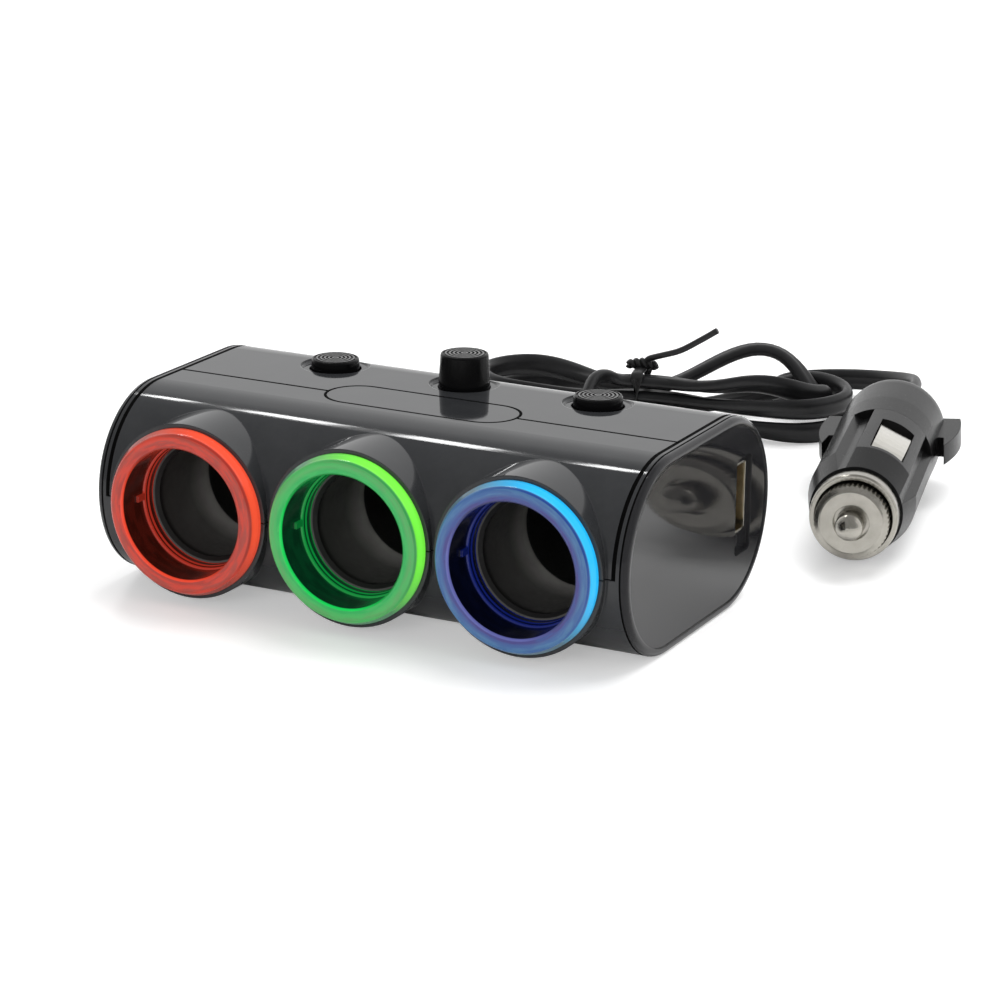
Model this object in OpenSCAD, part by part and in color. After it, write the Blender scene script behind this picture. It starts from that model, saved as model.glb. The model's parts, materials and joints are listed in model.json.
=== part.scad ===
// Car power socket splitter: three lit sockets, three push switches, one charging port, cord and plug.
// Sockets face -Y, the switches are on top (+Z) and the charging port is on the +X end.
// The origin is on the standing surface, under the middle of the housing.

/* [Housing] */
// Room between an outer boss and the end of the covers
side_room = 1.5; // [1:0.1:15]
// Depth of the housing behind the socket cups
rear_room = 25.7; // [23:0.1:36]
// How far the housing stands above and below the socket bosses
crown = 1.8; // [1.4:0.1:5]
// Wall thickness of the shells
wall = 2; // [1.6:0.1:2.6]
// Distance from the seam on top to the row of buttons
seam_before = 16.8; // [14:0.2:20]
// Width of the band at each end of the covers
band_w = 1; // [0.8:0.1:2]
// Thickness of an end cap
cap_t = 1.2; // [1:0.1:2]
// Gap that shows between two outer pieces
seam = 0.2; // [0.1:0.05:0.4]

/* [Sockets] */
// Inner radius of the metal sleeve that takes a plug
sleeve_r = 10.5; // [10.4:0.05:12]
// Wall of the metal sleeve
sleeve_wall = 0.6; // [0.4:0.1:0.7]
// Length of the metal sleeve
sleeve_l = 17.8; // [14:0.2:22]
// Wall of the insulating cup round the sleeve
cup_wall = 1.8; // [1.5:0.1:2.1]
// Depth from the ring's face to the back of the cup
cup_depth = 40.4; // [36:0.2:50]
// Depth from the ring's face to the sleeve's lip
lip_depth = 9.2; // [8:0.2:11]
// Difference between the radius of the ring's bore and the sleeve's
ring_bore_room = 1.7; // [1.5:0.1:2]
// Wall of the light ring's neck inside its boss
ring_neck_wall = 2; // [1.7:0.1:2.3]
// Width of the light ring's face
ring_face_w = 2.8; // [2.5:0.1:4]
// How far the ring's flange stands out past its face
ring_flange_w = 0.5; // [0.3:0.1:1]
// Thickness of the light ring's flange
ring_flange_t = 2.6; // [2:0.1:3]
// How far a light ring stands in front of the bulge
ring_proud = 3.7; // [3:0.1:6]
// Wall of the boss outside the ring's flange
boss_edge = 0.8; // [0.6:0.1:2]
// Gap between two bosses
boss_gap = 0.8; // [0.6:0.1:8]

/* [Switches] */
// Distance between two button axes
button_pitch = 27.5; // [24:0.5:32]
// Gap between the cups and the flange of a button
button_gap = 0.3; // [0.3:0.1:3]
// Radius of a button at its foot
button_r = 4.8; // [4.2:0.1:5.4]
// How much a button tapers towards its top
button_taper = 0.3; // [0.1:0.1:0.8]
// Width of the flange that holds a button in
button_flange = 0.8; // [0.6:0.1:1.2]
// Height of a released button above the housing
button_proud = 5.9; // [5:0.1:7]
// Travel of a button
button_travel = 4.4; // [3:0.1:4.6]
// Width of the dish round a button
dish_w = 1.8; // [1.4:0.1:3]
// Depth of the dish
dish_depth = 0.6; // [0.4:0.1:0.8]

/* [Badge] */
// Length of the plain inlay on top
badge_l = 38.2; // [30:0.2:44]
// Width of the plain inlay
badge_w = 11.8; // [8:0.2:14]
// Thickness of the inlay
badge_t = 0.8; // [0.6:0.1:1.2]

/* [Charging port] */
// Height of the port's middle above the socket axes
port_rise = 1.8; // [0:0.1:3]
// Room between the back wall and the port shell
port_back_room = 7.2; // [3.2:0.1:8]
// Outside height of the metal port shell
port_h = 13.2; // [13:0.1:14]
// Outside thickness of the metal port shell
port_t = 5.7; // [5.5:0.1:6]
// Length of the metal port shell
port_l = 14; // [12:0.5:16]

/* [Plug] */
// Radius of the plug over its raised lands
plug_r = 10.4; // [10.2:0.05:10.45]
// Radius of the plug between its lands
plug_core_r = 8.9; // [8.6:0.1:9.2]
// Length of the part that goes into a socket
barrel_l = 40; // [36:1:44]
// Length of the handle
handle_l = 27; // [22:1:34]
// Length of the plug's strain relief
relief_l = 17; // [12:1:22]

/* [Cord] */
// Width of the flat two-core cord
cord_h = 4.7; // [4.4:0.1:4.8]
// Thickness of the flat cord
cord_w = 2.8; // [2.4:0.1:2.9]

/* [Hidden] */

$fn = 96;
over = 1;
fit = 0.05;
free_fit = 0.1;

// Radii of a socket, from its sleeve outwards
cup_r = sleeve_r + sleeve_wall + cup_wall;
ring_bore_r = sleeve_r + ring_bore_room;
ring_neck_r = ring_bore_r + ring_neck_wall;
ring_r = ring_bore_r + ring_face_w;
ring_flange_r = ring_r + ring_flange_w;
boss_r = ring_flange_r + boss_edge;

// Overall sizes that follow from the sockets
socket_pitch = 2 * boss_r + boss_gap;
cover_w = 2 * (socket_pitch + boss_r + side_room);
body_d = cup_depth - ring_proud + rear_room;
body_h = 2 * (boss_r + crown);

// Places that every piece shares
face_y = -(ring_proud + body_d) / 2;
front_y = face_y + ring_proud;
rear_y = front_y + body_d;
axis_z = body_h / 2;
front_c = front_y + body_h / 2;
rear_c = rear_y - body_h / 2;
half_w = cover_w / 2;
band_x = half_w + band_w;
cap_x = band_x + seam;
boss_y = face_y + ring_flange_t;
lip_y = face_y + lip_depth;
sleeve_end_y = lip_y + sleeve_l;
cup_back_y = face_y + cup_depth;
button_top_r = button_r - button_taper;
button_flange_r = button_r + button_flange;
dish_r = button_r + dish_w;
button_y = cup_back_y + button_gap + button_flange_r;
seam_y = button_y - seam_before;
port_z = axis_z + port_rise;
port_y = rear_y - wall - port_back_room - port_t / 2;

// Colours
charcoal = [0.10, 0.10, 0.11];
black = [0.03, 0.03, 0.035];
nickel = [0.80, 0.79, 0.76];
brass = [0.80, 0.62, 0.30];
ring_colours = [[0.90, 0.12, 0.06], [0.10, 0.80, 0.20], [0.08, 0.35, 0.85]];

// Housing shapes

module profile(inset) {
    r = body_h / 2 - inset;
    translate([front_c, axis_z]) circle(r);
    translate([rear_c, axis_z]) circle(r);
    translate([front_c, axis_z - r]) square([rear_c - front_c, 2 * r]);
}

module bar(inset, from_x, to_x) {
    translate([from_x, 0, 0]) rotate([90, 0, 90]) linear_extrude(to_x - from_x) profile(inset);
}

module along_y(x, y, z) {
    translate([x, y, z]) rotate([-90, 0, 0]) children();
}

module sockets() {
    for (i = [-1:1]) translate([i * socket_pitch, 0, 0]) children();
}

module outer_form(to_x) {
    bar(0, -to_x, to_x);
    sockets() along_y(0, boss_y, axis_z) cylinder(r = boss_r, h = front_c - boss_y);
}

neck_room_y = front_c - sqrt(pow(body_h / 2 - wall, 2) - pow(ring_neck_r + free_fit, 2)) + free_fit;

module inner_form(to_x) {
    bar(wall, -to_x, to_x);
    sockets() along_y(0, boss_y - over, axis_z)
        cylinder(r = ring_neck_r + free_fit, h = neck_room_y - boss_y + over);
}

module block(from, to) {
    translate(from) cube(to - from);
}

far = 2 * (body_d + body_h);

// Screw pillars between the sockets and behind the switches
front_screw_shift = 2.8;
rear_screw_shift = 7;
front_screw_y = front_c - front_screw_shift;
rear_screw_y = rear_c + rear_screw_shift;
rear_screw_x = button_pitch / 2;
pillar_r = 2.8;
screw_r = 1.1;
screw_head_r = 2.2;
screw_head_t = 1.6;
screw_head_z = 1;
screw_l = 15;
pillar_split_z = 9.6;

screw_places = [
    [-socket_pitch / 2, front_screw_y],
    [socket_pitch / 2, front_screw_y],
    [-rear_screw_x, rear_screw_y],
    [rear_screw_x, rear_screw_y]];

module at_screws(places) {
    for (p = places) translate([p.x, p.y, 0]) children();
}

// Saddles in the lower shell that carry the cups
saddle_t = 1.6;
saddle_front_y = neck_room_y + saddle_t;
saddle_rear_y = cup_back_y - 3 * saddle_t;

module saddle(y) {
    intersection() {
        block([-half_w, y, wall / 2], [half_w, y + saddle_t, axis_z - seam]);
        bar(wall / 2, -half_w, half_w);
    }
}

// Gland and its hole in the back of the lower shell
gland_x = -20;
gland_r = 4.6;
gland_hole_r = 3.6;
gland_z = axis_z;
gland_l = 11;
gland_ring_t = 1.4;
gland_y = rear_y + fit;

// Inside edge of an end band
band_lip = 1.5;

module gland_room() {
    along_y(gland_x, rear_c, gland_z) cylinder(r = gland_hole_r + fit, h = body_h);
}

module lower_shell() {
    color(charcoal) difference() {
        union() {
            intersection() {
                difference() {
                    outer_form(half_w);
                    inner_form(half_w + over);
                }
                block([-far, -far, -over], [far, far, axis_z]);
            }
            for (side = [0, 1]) mirror([side, 0, 0]) difference() {
                bar(0, half_w, band_x);
                bar(wall + band_lip, half_w - over, band_x + over);
            }
            difference() {
                union() {
                    saddle(saddle_front_y);
                    saddle(saddle_rear_y);
                }
                sockets() along_y(0, boss_y, axis_z) cylinder(r = cup_r + fit, h = far);
                at_screws(screw_places) translate([0, 0, pillar_split_z]) cylinder(r = pillar_r + seam, h = far);
            }
            at_screws(screw_places) intersection() {
                translate([0, 0, wall / 2]) cylinder(r = pillar_r, h = pillar_split_z - wall / 2);
                translate([0, -rear_screw_y, 0]) block([-far, -far, 0], [far, far, axis_z]);
            }
        }
        at_screws(screw_places) {
            translate([0, 0, -over]) cylinder(r = screw_head_r + fit, h = screw_head_z + screw_head_t + over);
            cylinder(r = screw_r + free_fit, h = pillar_split_z + over);
        }
        gland_room();
        badge_room();
        port_hole();
    }
}

// Inlay on top, across the seam
badge_shift = 0.4;
badge_y = seam_y + badge_shift;

module racetrack(l, w) {
    straight = l - w;
    for (s = [-1, 1]) translate([s * straight / 2, 0]) circle(d = w);
    square([straight, w], center = true);
}

module badge_room() {
    translate([0, badge_y, body_h - badge_t]) linear_extrude(badge_t + over)
        racetrack(badge_l + 2 * seam, badge_w + 2 * seam);
}

module badge_plate() {
    color(charcoal) translate([0, badge_y, body_h - badge_t]) linear_extrude(badge_t)
        racetrack(badge_l, badge_w);
}

// Covers: the wall under the inlay is thickened from below
badge_pad = 0.8;

module badge_backing(from_y, to_y) {
    intersection() {
        translate([0, badge_y, body_h - wall - badge_pad]) linear_extrude(wall)
            racetrack(badge_l + 2 * wall, badge_w + 2 * wall);
        block([-far, from_y, 0], [far, to_y, body_h]);
    }
}

module cover_pillar(places, top_inset) {
    at_screws(places) difference() {
        translate([0, 0, pillar_split_z + seam]) cylinder(r = pillar_r, h = body_h - pillar_split_z - top_inset);
        cylinder(r = screw_r + fit, h = screw_head_z + screw_head_t + screw_l + over);
    }
}

module upper_part(from_y, to_y) {
    intersection() {
        difference() {
            outer_form(half_w - seam);
            inner_form(half_w + over);
        }
        block([-far, from_y, axis_z + seam], [far, to_y, far]);
    }
}

front_screws = [screw_places[0], screw_places[1]];
rear_screws = [screw_places[2], screw_places[3]];

module front_cover() {
    color(charcoal) difference() {
        union() {
            upper_part(-far, seam_y - seam / 2);
            badge_backing(-far, seam_y - seam / 2);
            intersection() {
                cover_pillar(front_screws, 0);
                bar(wall / 2, -half_w, half_w);
            }
        }
        badge_room();
    }
}

module rear_cover() {
    color(charcoal) difference() {
        union() {
            upper_part(seam_y + seam / 2, far);
            badge_backing(seam_y + seam / 2, far);
            intersection() {
                cover_pillar(rear_screws, 0);
                bar(wall / 2, -half_w, half_w);
            }
            for (s = [-1, 1]) translate([s * board_post_x, button_y, board_z + board_t])
                cylinder(r = pillar_r, h = body_h - wall / 2 - board_z - board_t);
        }
        badge_room();
        buttons() {
            translate([0, 0, body_h - dish_depth]) cylinder(r1 = dish_r - dish_depth, r2 = dish_r, h = dish_depth);
            translate([0, 0, body_h - dish_depth / 2]) cylinder(r = dish_r, h = over);
            cylinder(r = button_r + button_clear, h = far);
            cylinder(r = button_flange_r + 2 * free_fit, h = body_h - wall);
        }
        gland_room();
    }
}

// End caps with a rounded rim round a flat, polished panel
cap_round = 1.1;
panel_inset = 1.6;
panel_step = 0.15;

// Profile of the cap's rim, radius against thickness
module rim_profile() {
    difference() {
        square([body_h / 2, cap_t]);
        translate([body_h / 2 - cap_round, cap_t - cap_round]) difference() {
            square(cap_round + over);
            circle(cap_round);
        }
    }
}

module cap_form() {
    for (c = [front_c, rear_c]) translate([0, c, axis_z]) rotate([0, 90, 0]) rotate_extrude() rim_profile();
    for (m = [0, 1]) translate([0, front_c, axis_z]) mirror([0, 0, m]) rotate([-90, 0, 0]) rotate([0, 0, -90])
        linear_extrude(rear_c - front_c) rim_profile();
}

module end_cap_right() {
    translate([cap_x, 0, 0]) difference() {
        cap_form();
        translate([cap_t - panel_step, 0, 0]) bar(panel_inset, 0, over);
    }
    bar(wall + band_lip + free_fit, half_w, cap_x + cap_t / 2);
}

// Pocket round the charging port, longer below the port
pocket_w = 6.8;
pocket_top = 1.2;
pocket_drop = 3.8;
pocket_r = 1;
pocket_depth = 1;
port_face_x = cap_x + cap_t - pocket_depth;

module port_pocket() {
    low = port_z - port_h / 2 - pocket_drop;
    high = port_z + port_h / 2 + pocket_top;
    translate([port_face_x, 0, 0]) rotate([90, 0, 90]) linear_extrude(pocket_depth + over) {
        translate([port_y - pocket_w / 2 + pocket_r, low]) square([pocket_w - 2 * pocket_r, high - low]);
        translate([port_y - pocket_w / 2, low + pocket_r]) square([pocket_w, high - low - 2 * pocket_r]);
        for (y = [-1, 1], z = [low + pocket_r, high - pocket_r])
            translate([port_y + y * (pocket_w / 2 - pocket_r), z]) circle(pocket_r);
    }
}

module port_hole() {
    block([half_w - over, port_y - port_t / 2 - fit, port_z - port_h / 2 - fit],
        [far, port_y + port_t / 2 + fit, port_z + port_h / 2 + fit]);
}

module right_end_cap() {
    color(charcoal) difference() {
        end_cap_right();
        port_pocket();
        port_hole();
    }
}

module left_end_cap() {
    color(charcoal) mirror([1, 0, 0]) end_cap_right();
}

// Light rings: a clear coloured collar with a round rim, a stepped bore and a small key
ring_round = 0.9;
neck_behind_lip = 0.3;
step_in = 0.35;
step_before_lip = 2.2;
lip_cover = 0.5;
ring_neck_l = lip_depth + neck_behind_lip;
ring_step_r = ring_bore_r - step_in;
ring_step_depth = lip_depth - step_before_lip;
ring_lip_r = sleeve_r + sleeve_wall + lip_cover;
key_w = 1.2;

module light_ring(i) {
    corner = [for (a = [0:15:90]) [ring_r - ring_round * (1 - sin(a)), ring_round * (1 - cos(a))]];
    inner_corner = [for (a = [90:-15:0]) [ring_bore_r + ring_round / 2 * (1 - sin(a)), ring_round / 2 * (1 - cos(a))]];
    color(ring_colours[i], 0.8) translate([(i - 1) * socket_pitch, 0, 0]) {
        along_y(0, face_y, axis_z) rotate_extrude() polygon(concat(corner, [
            [ring_flange_r, ring_flange_t * 2 / 3],
            [ring_flange_r, ring_flange_t],
            [ring_neck_r, ring_flange_t],
            [ring_neck_r, ring_neck_l],
            [ring_lip_r, ring_neck_l],
            [ring_lip_r, ring_step_depth + ring_round],
            [ring_step_r, ring_step_depth + ring_round / 2],
            [ring_step_r, ring_step_depth],
            [ring_bore_r, ring_step_depth - ring_round / 4]],
            inner_corner));
        translate([-ring_bore_r - fit, face_y + ring_step_depth - 2 * key_w, axis_z - key_w / 2])
            cube([key_w / 2, 2 * key_w, key_w]);
    }
}

module light_ring_red() { light_ring(0); }
module light_ring_green() { light_ring(1); }
module light_ring_blue() { light_ring(2); }

// Metal sleeves with a rolled lip
lip_flare = 0.75;

module socket_sleeve(i) {
    out_r = sleeve_r + sleeve_wall;
    color([0.35, 0.34, 0.32]) along_y((i - 1) * socket_pitch, lip_y, axis_z) rotate_extrude() polygon([
        [sleeve_r + lip_flare, 0],
        [out_r + lip_flare / 2, 0],
        [out_r + lip_flare / 2, sleeve_wall],
        [out_r, sleeve_wall],
        [out_r, sleeve_l],
        [sleeve_r, sleeve_l],
        [sleeve_r, lip_flare]]);
}

module socket_sleeve_red() { socket_sleeve(0); }
module socket_sleeve_green() { socket_sleeve(1); }
module socket_sleeve_blue() { socket_sleeve(2); }

// Insulating cups and the bases that close them
cup_floor = 2.2;
cup_inner_step = 0.25;
cup_inner_r = sleeve_r + cup_inner_step;
rivet_r = 1.6;
lip_seat_r = sleeve_r + sleeve_wall + lip_flare / 2 + fit;

module socket_cup(i) {
    all_s = cup_back_y - ring_back_y;
    color(black) along_y((i - 1) * socket_pitch, ring_back_y, axis_z) difference() {
        cylinder(r = cup_r, h = all_s);
        translate([0, 0, -over]) cylinder(r = lip_seat_r, h = over + lip_y + sleeve_wall - ring_back_y);
        translate([0, 0, -over]) cylinder(r = sleeve_r + sleeve_wall + fit, h = over + sleeve_end_y - ring_back_y);
        cylinder(r = cup_inner_r, h = all_s + over);
    }
}

ring_back_y = face_y + ring_neck_l;

module socket_base(i) {
    color(black) along_y((i - 1) * socket_pitch, cup_back_y - cup_floor, axis_z) difference() {
        cylinder(r = cup_inner_r - fit, h = cup_floor);
        translate([0, 0, -over]) cylinder(r = rivet_r, h = cup_floor + 2 * over);
    }
}

module socket_cup_red() { socket_cup(0); }
module socket_cup_green() { socket_cup(1); }
module socket_cup_blue() { socket_cup(2); }
module socket_base_red() { socket_base(0); }
module socket_base_green() { socket_base(1); }
module socket_base_blue() { socket_base(2); }

// Centre contacts: a domed spring disc on a hollow rivet
contact_r = 3.6;
contact_t = 1.2;
contact_dome = 0.9;
bus_t = 0.6;

module centre_contact(i) {
    color(brass) along_y((i - 1) * socket_pitch, cup_back_y - cup_floor - contact_t, axis_z) rotate_extrude() polygon([
        [0, -contact_dome],
        [contact_r / 2, -contact_dome],
        [contact_r, contact_t / 2],
        [contact_r, contact_t],
        [rivet_r - fit, contact_t],
        [rivet_r - fit, contact_t + cup_floor + bus_t],
        [0, contact_t + cup_floor + bus_t]]);
}

module centre_contact_red() { centre_contact(0); }
module centre_contact_green() { centre_contact(1); }
module centre_contact_blue() { centre_contact(2); }

// Strips behind the cups that carry the supply and the return
bus_w = 5;
bus_x = socket_pitch + bus_w / 2;
bus_gap = 1.5;
ground_z = axis_z - bus_w - bus_gap;

module bus(z, hole_r) {
    difference() {
        block([-bus_x, cup_back_y, z - bus_w / 2], [bus_x, cup_back_y + bus_t, z + bus_w / 2]);
        sockets() along_y(0, cup_back_y - over, z) cylinder(r = hole_r, h = 3 * over);
    }
}

module positive_bus() { color(brass) bus(axis_z, rivet_r); }
module ground_bus() { color(nickel) bus(ground_z, rivet_r / 2); }

// Push buttons: a slightly tapered cap with fine rings on top, a flange and a stem
button_hold = 1;
button_clear = 0.15;
button_round = 0.4;
stem_r = 1.6;
stem_l = 6;
groove_n = 5;
groove_w = 0.3;
groove_deep = 0.2;
up_top_z = body_h + button_proud;
cap_foot_z = body_h - wall - fit;

module buttons() {
    for (i = [-1:1]) translate([i * button_pitch, button_y, 0]) children();
}

module button(i, drop) {
    cap_h = up_top_z - cap_foot_z;
    pitch = (button_top_r - button_round) / (groove_n + 0.5);
    color(black) translate([i * button_pitch, button_y, cap_foot_z - drop]) rotate_extrude() polygon(concat(
        [[0, -button_hold - stem_l],
            [stem_r, -button_hold - stem_l],
            [stem_r, -button_hold],
            [button_flange_r, -button_hold],
            [button_flange_r, 0],
            [button_r, 0],
            [button_r, wall],
            [button_top_r, cap_h - button_round],
            [button_top_r - button_round / 3, cap_h - button_round / 4],
            [button_top_r - button_round, cap_h]],
        [for (k = [groove_n:-1:1], j = [0:3])
            [k * pitch + (j < 2 ? groove_w : 0), cap_h - (j == 1 || j == 2 ? groove_deep : 0)]],
        [[0, cap_h]]));
}

module left_button() { button(-1, button_travel); }
module middle_button() { button(0, 0); }
module right_button() { button(1, button_travel); }

// Switch bodies under the buttons
switch_w = 8.4;
switch_h = 6.75;
switch_gap = 0.4;
switch_top_z = cap_foot_z - button_hold - button_travel - switch_gap;
board_t = 1.6;
board_z = switch_top_z - switch_h - board_t;

module switch_body(i) {
    color([0.12, 0.12, 0.13]) translate([i * button_pitch, button_y, board_z + board_t]) difference() {
        translate([-switch_w / 2, -switch_w / 2, 0]) cube([switch_w, switch_w, switch_top_z - board_z - board_t]);
        translate([0, 0, fit]) cylinder(r = stem_r + free_fit, h = far);
    }
}

module left_switch() { switch_body(-1); }
module middle_switch() { switch_body(0); }
module right_switch() { switch_body(1); }

// Main board and what sits on it
board_front_y = cup_back_y + bus_t + rivet_r / 2;
board_behind_axis = 12.6;
board_back_y = rear_c + board_behind_axis;
board_left_x = -40;
board_right_x = 36;
board_post_shift = 8;
board_post_x = button_pitch + board_post_shift;

module main_board() {
    color([0.05, 0.30, 0.14]) difference() {
        block([board_left_x, board_front_y, board_z], [board_right_x, board_back_y, board_z + board_t]);
        at_screws(rear_screws) cylinder(r = pillar_r + free_fit, h = far);
    }
}

// Shares of the board's length and of its depth where the components stand, with their sizes
part_places_share = [[0.10, 0.75], [0.24, 0.72], [0.50, 0.72], [0.90, 0.70]];
part_sizes = [[8, 6, 5], [6, 6, 3.4], [5, 4, 1.6], [7, 7, 4.5]];

module board_components() {
    color([0.18, 0.18, 0.20]) for (i = [0:len(part_places_share) - 1]) {
        s = part_sizes[i];
        x = board_left_x + part_places_share[i].x * (board_right_x - board_left_x);
        y = board_front_y + part_places_share[i].y * (board_back_y - board_front_y);
        block([x - s.x / 2, y - s.y / 2, board_z - s.z], [x + s.x / 2, y + s.y / 2, board_z]);
    }
    color([0.1, 0.1, 0.3]) translate([(board_left_x + board_right_x) / 2 + switch_w, board_back_y - switch_w, board_z - cap_l])
        cylinder(r = cap_can_r, h = cap_l);
}

cap_can_r = 3;
cap_l = 9;

// Charging port: metal shell, tongue, contacts and their small board
port_wall = 0.4;
tongue_t = 1.8;
tongue_back = 1.2;
tongue_shift = 0.5;
port_back_x = port_face_x - port_l;
usb_board_t = 1.2;
usb_board_l = 16;
usb_board_h = 18;
usb_board_low = 3;
usb_board_y = port_y + port_t / 2;

module usb_shell() {
    color(nickel) difference() {
        block([port_back_x, port_y - port_t / 2, port_z - port_h / 2],
            [port_face_x, port_y + port_t / 2, port_z + port_h / 2]);
        block([port_back_x + 2 * port_wall, port_y - port_t / 2 + port_wall, port_z - port_h / 2 + port_wall],
            [port_face_x + over, port_y + port_t / 2 - port_wall, port_z + port_h / 2 - port_wall]);
    }
}

tongue_x = port_back_x + 2 * port_wall;
tongue_y = port_y - tongue_shift;
tongue_edge = 1.3;
tongue_h = port_h - 2 * port_wall - tongue_edge;

module usb_tongue() {
    color([0.85, 0.84, 0.80]) block([tongue_x, tongue_y - tongue_t / 2, port_z - tongue_h / 2],
        [port_face_x - tongue_back, tongue_y + tongue_t / 2, port_z + tongue_h / 2]);
}

module usb_contacts() {
    for (k = [-1.5:1:1.5]) color(brass) translate([0, 0, port_z + k * tongue_h / 4.6])
        block([tongue_x + tongue_back, tongue_y + tongue_t / 2, -port_wall],
            [port_face_x - 2 * tongue_back, tongue_y + tongue_t / 2 + port_wall / 2, port_wall]);
}

module usb_board() {
    color([0.05, 0.30, 0.14]) block([port_face_x - usb_board_l - seam, usb_board_y, port_z - usb_board_h / 2],
        [port_face_x - cap_t - 2 * seam, usb_board_y + usb_board_t, port_z + usb_board_h / 2 - usb_board_low]);
}

// Lights behind the top of each ring's neck
led_l = 2;
led_t = ring_neck_r - cup_r - seam;

module ring_leds() {
    color([0.95, 0.95, 0.85]) sockets()
        block([-led_l / 2, ring_back_y, axis_z + cup_r + fit], [led_l / 2, ring_back_y + led_l, axis_z + cup_r + led_t]);
}

module housing_screws() {
    color(nickel) at_screws(screw_places) difference() {
        union() {
            translate([0, 0, screw_head_z]) cylinder(r = screw_head_r, h = screw_head_t);
            translate([0, 0, screw_head_z]) cylinder(r = screw_r, h = screw_head_t + screw_l);
        }
        for (a = [0, 90]) translate([0, 0, screw_head_z]) rotate([0, 0, a])
            cube([screw_head_r, screw_r / 2, screw_head_t], center = true);
    }
}

// Cord gland at the back
module cord_gland() {
    color(black) along_y(gland_x, gland_y, gland_z) rotate_extrude() polygon([
        [0, -wall - gland_back - gland_ring_t],
        [gland_r, -wall - gland_back - gland_ring_t],
        [gland_r, -wall - gland_back],
        [gland_hole_r, -wall - gland_back],
        [gland_hole_r, 0],
        [gland_r, 0],
        [gland_r, gland_ring_t],
        [cord_h / 2 + gland_end_wall, gland_l],
        [0, gland_l]]);
}

gland_end_wall = 0.6;
gland_back = 0.8;

// Cord route on the standing surface: points chosen by hand, in millimetres
housing_route = [
    [-20, 48, 18.1], [-20.2, 52.5, 17.1], [-20.8, 57, 14.2], [-21.6, 61, 10.2], [-22.4, 65, 6.4], [-23, 70, 3.6],
    [-23.2, 75.5, 2.5], [-23, 82, 2.4], [-22.3, 89, 2.4],
    [-20.9, 95.3, 2.6], [-19.9, 102, 4.6], [-20.4, 108.6, 7.8], [-21.5, 114.1, 10.2], [-21.3, 119.1, 10.4]];
plug_route = [
    [11.6, 149.2, 2.4], [5.1, 153.9, 2.4], [4.2, 160.4, 2.5], [9.2, 165.6, 2.8], [17.4, 167.2, 3.6],
    [26.2, 164.4, 5], [34.6, 157.2, 7.2], [40.1, 147, 9.4]];

// Hank: loops of flat cord piled in layers. The cord lies flat where the tie draws it in and stands on
// edge round the folds. The last loop is shorter and narrower: it springs up on its way out from the tie
// and its fold dips into the loop below.
hank_x = -13;
hank_y = 128;
hank_turn = 13;
hank_right = 42;
hank_left = 38;
hank_last = 37;
hank_wide = 22.5;
hank_last_wide = 17;
hank_waist = 2.7;
hank_lift = 0.9;
hank_layer_gap = 0.5;
hank_hump = 7.8;
hank_dip = 4.2;
hank_from = 30;
hank_total = 850;
hank_step = 10;
climb_at = 275;
climb = 50;
last_from = 540;
arch_from = 595;
arch_to = 735;
arch_ease = 40;
hump_from = 623;
hump_span = 78;
dip_from = 672;
dip_span = 105;

function smooth(t) = t <= 0 ? 0 : t >= 1 ? 1 : t * t * (3 - 2 * t);
function layer_at(t) = smooth((-t - climb_at) / climb) + smooth((-t - climb_at - 360) / climb);
function sprung(t) = min(smooth((-t - arch_from) / arch_ease), smooth((arch_to + t) / arch_ease));
function lying(t) = 90 * max(pow(sin(t), 4), sprung(t));
function layer_h(t) = norm([cord_h * cos(lying(t)), cord_w * sin(lying(t))]);
function swell(t, from, span) = let (k = (-t - from) / span) k > 0 && k < 1 ? pow(sin(180 * k), 2) : 0;
function turned(u, v) = [u * cos(hank_turn) - v * sin(hank_turn), u * sin(hank_turn) + v * cos(hank_turn)];
function hank_point(a) =
    let (t = hank_from - a, s = sin(t), reach = cos(t) < 0 ? hank_left : t > -last_from ? hank_right : hank_last,
        wide = t > -last_from ? hank_wide : hank_last_wide,
        p = turned(reach * cos(t), s * (wide - (wide - hank_waist) * pow(s, 4))))
    [hank_x + p.x, hank_y + p.y,
        layer_h(t) / 2 + hank_lift * pow(s, 4) + (layer_h(t) + hank_layer_gap) * layer_at(t)
        + hank_hump * swell(t, hump_from, hump_span) - hank_dip * swell(t, dip_from, dip_span)];

hank_n = round(hank_total / hank_step);
hank_points = [for (i = [0:hank_n]) hank_point(i * hank_total / hank_n)];
hank_lying = [for (i = [0:hank_n]) lying(hank_from - i * hank_total / hank_n)];

// Plug's place on the surface
plug_x = 64.4;
plug_y = 48.8;
plug_yaw = 14;
plug_roll = -65;
plug_end_l = barrel_l + handle_l + relief_l;
plug_end = [plug_x - plug_end_l * sin(plug_yaw), plug_y + plug_end_l * cos(plug_yaw), plug_r];

function along(path) = [for (i = [1:len(path) - 1]) norm(path[i] - path[i - 1])];
function total(v, i = 0) = i == len(v) ? 0 : v[i] + total(v, i + 1);
function unit_of(v) = v / norm(v);

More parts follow.
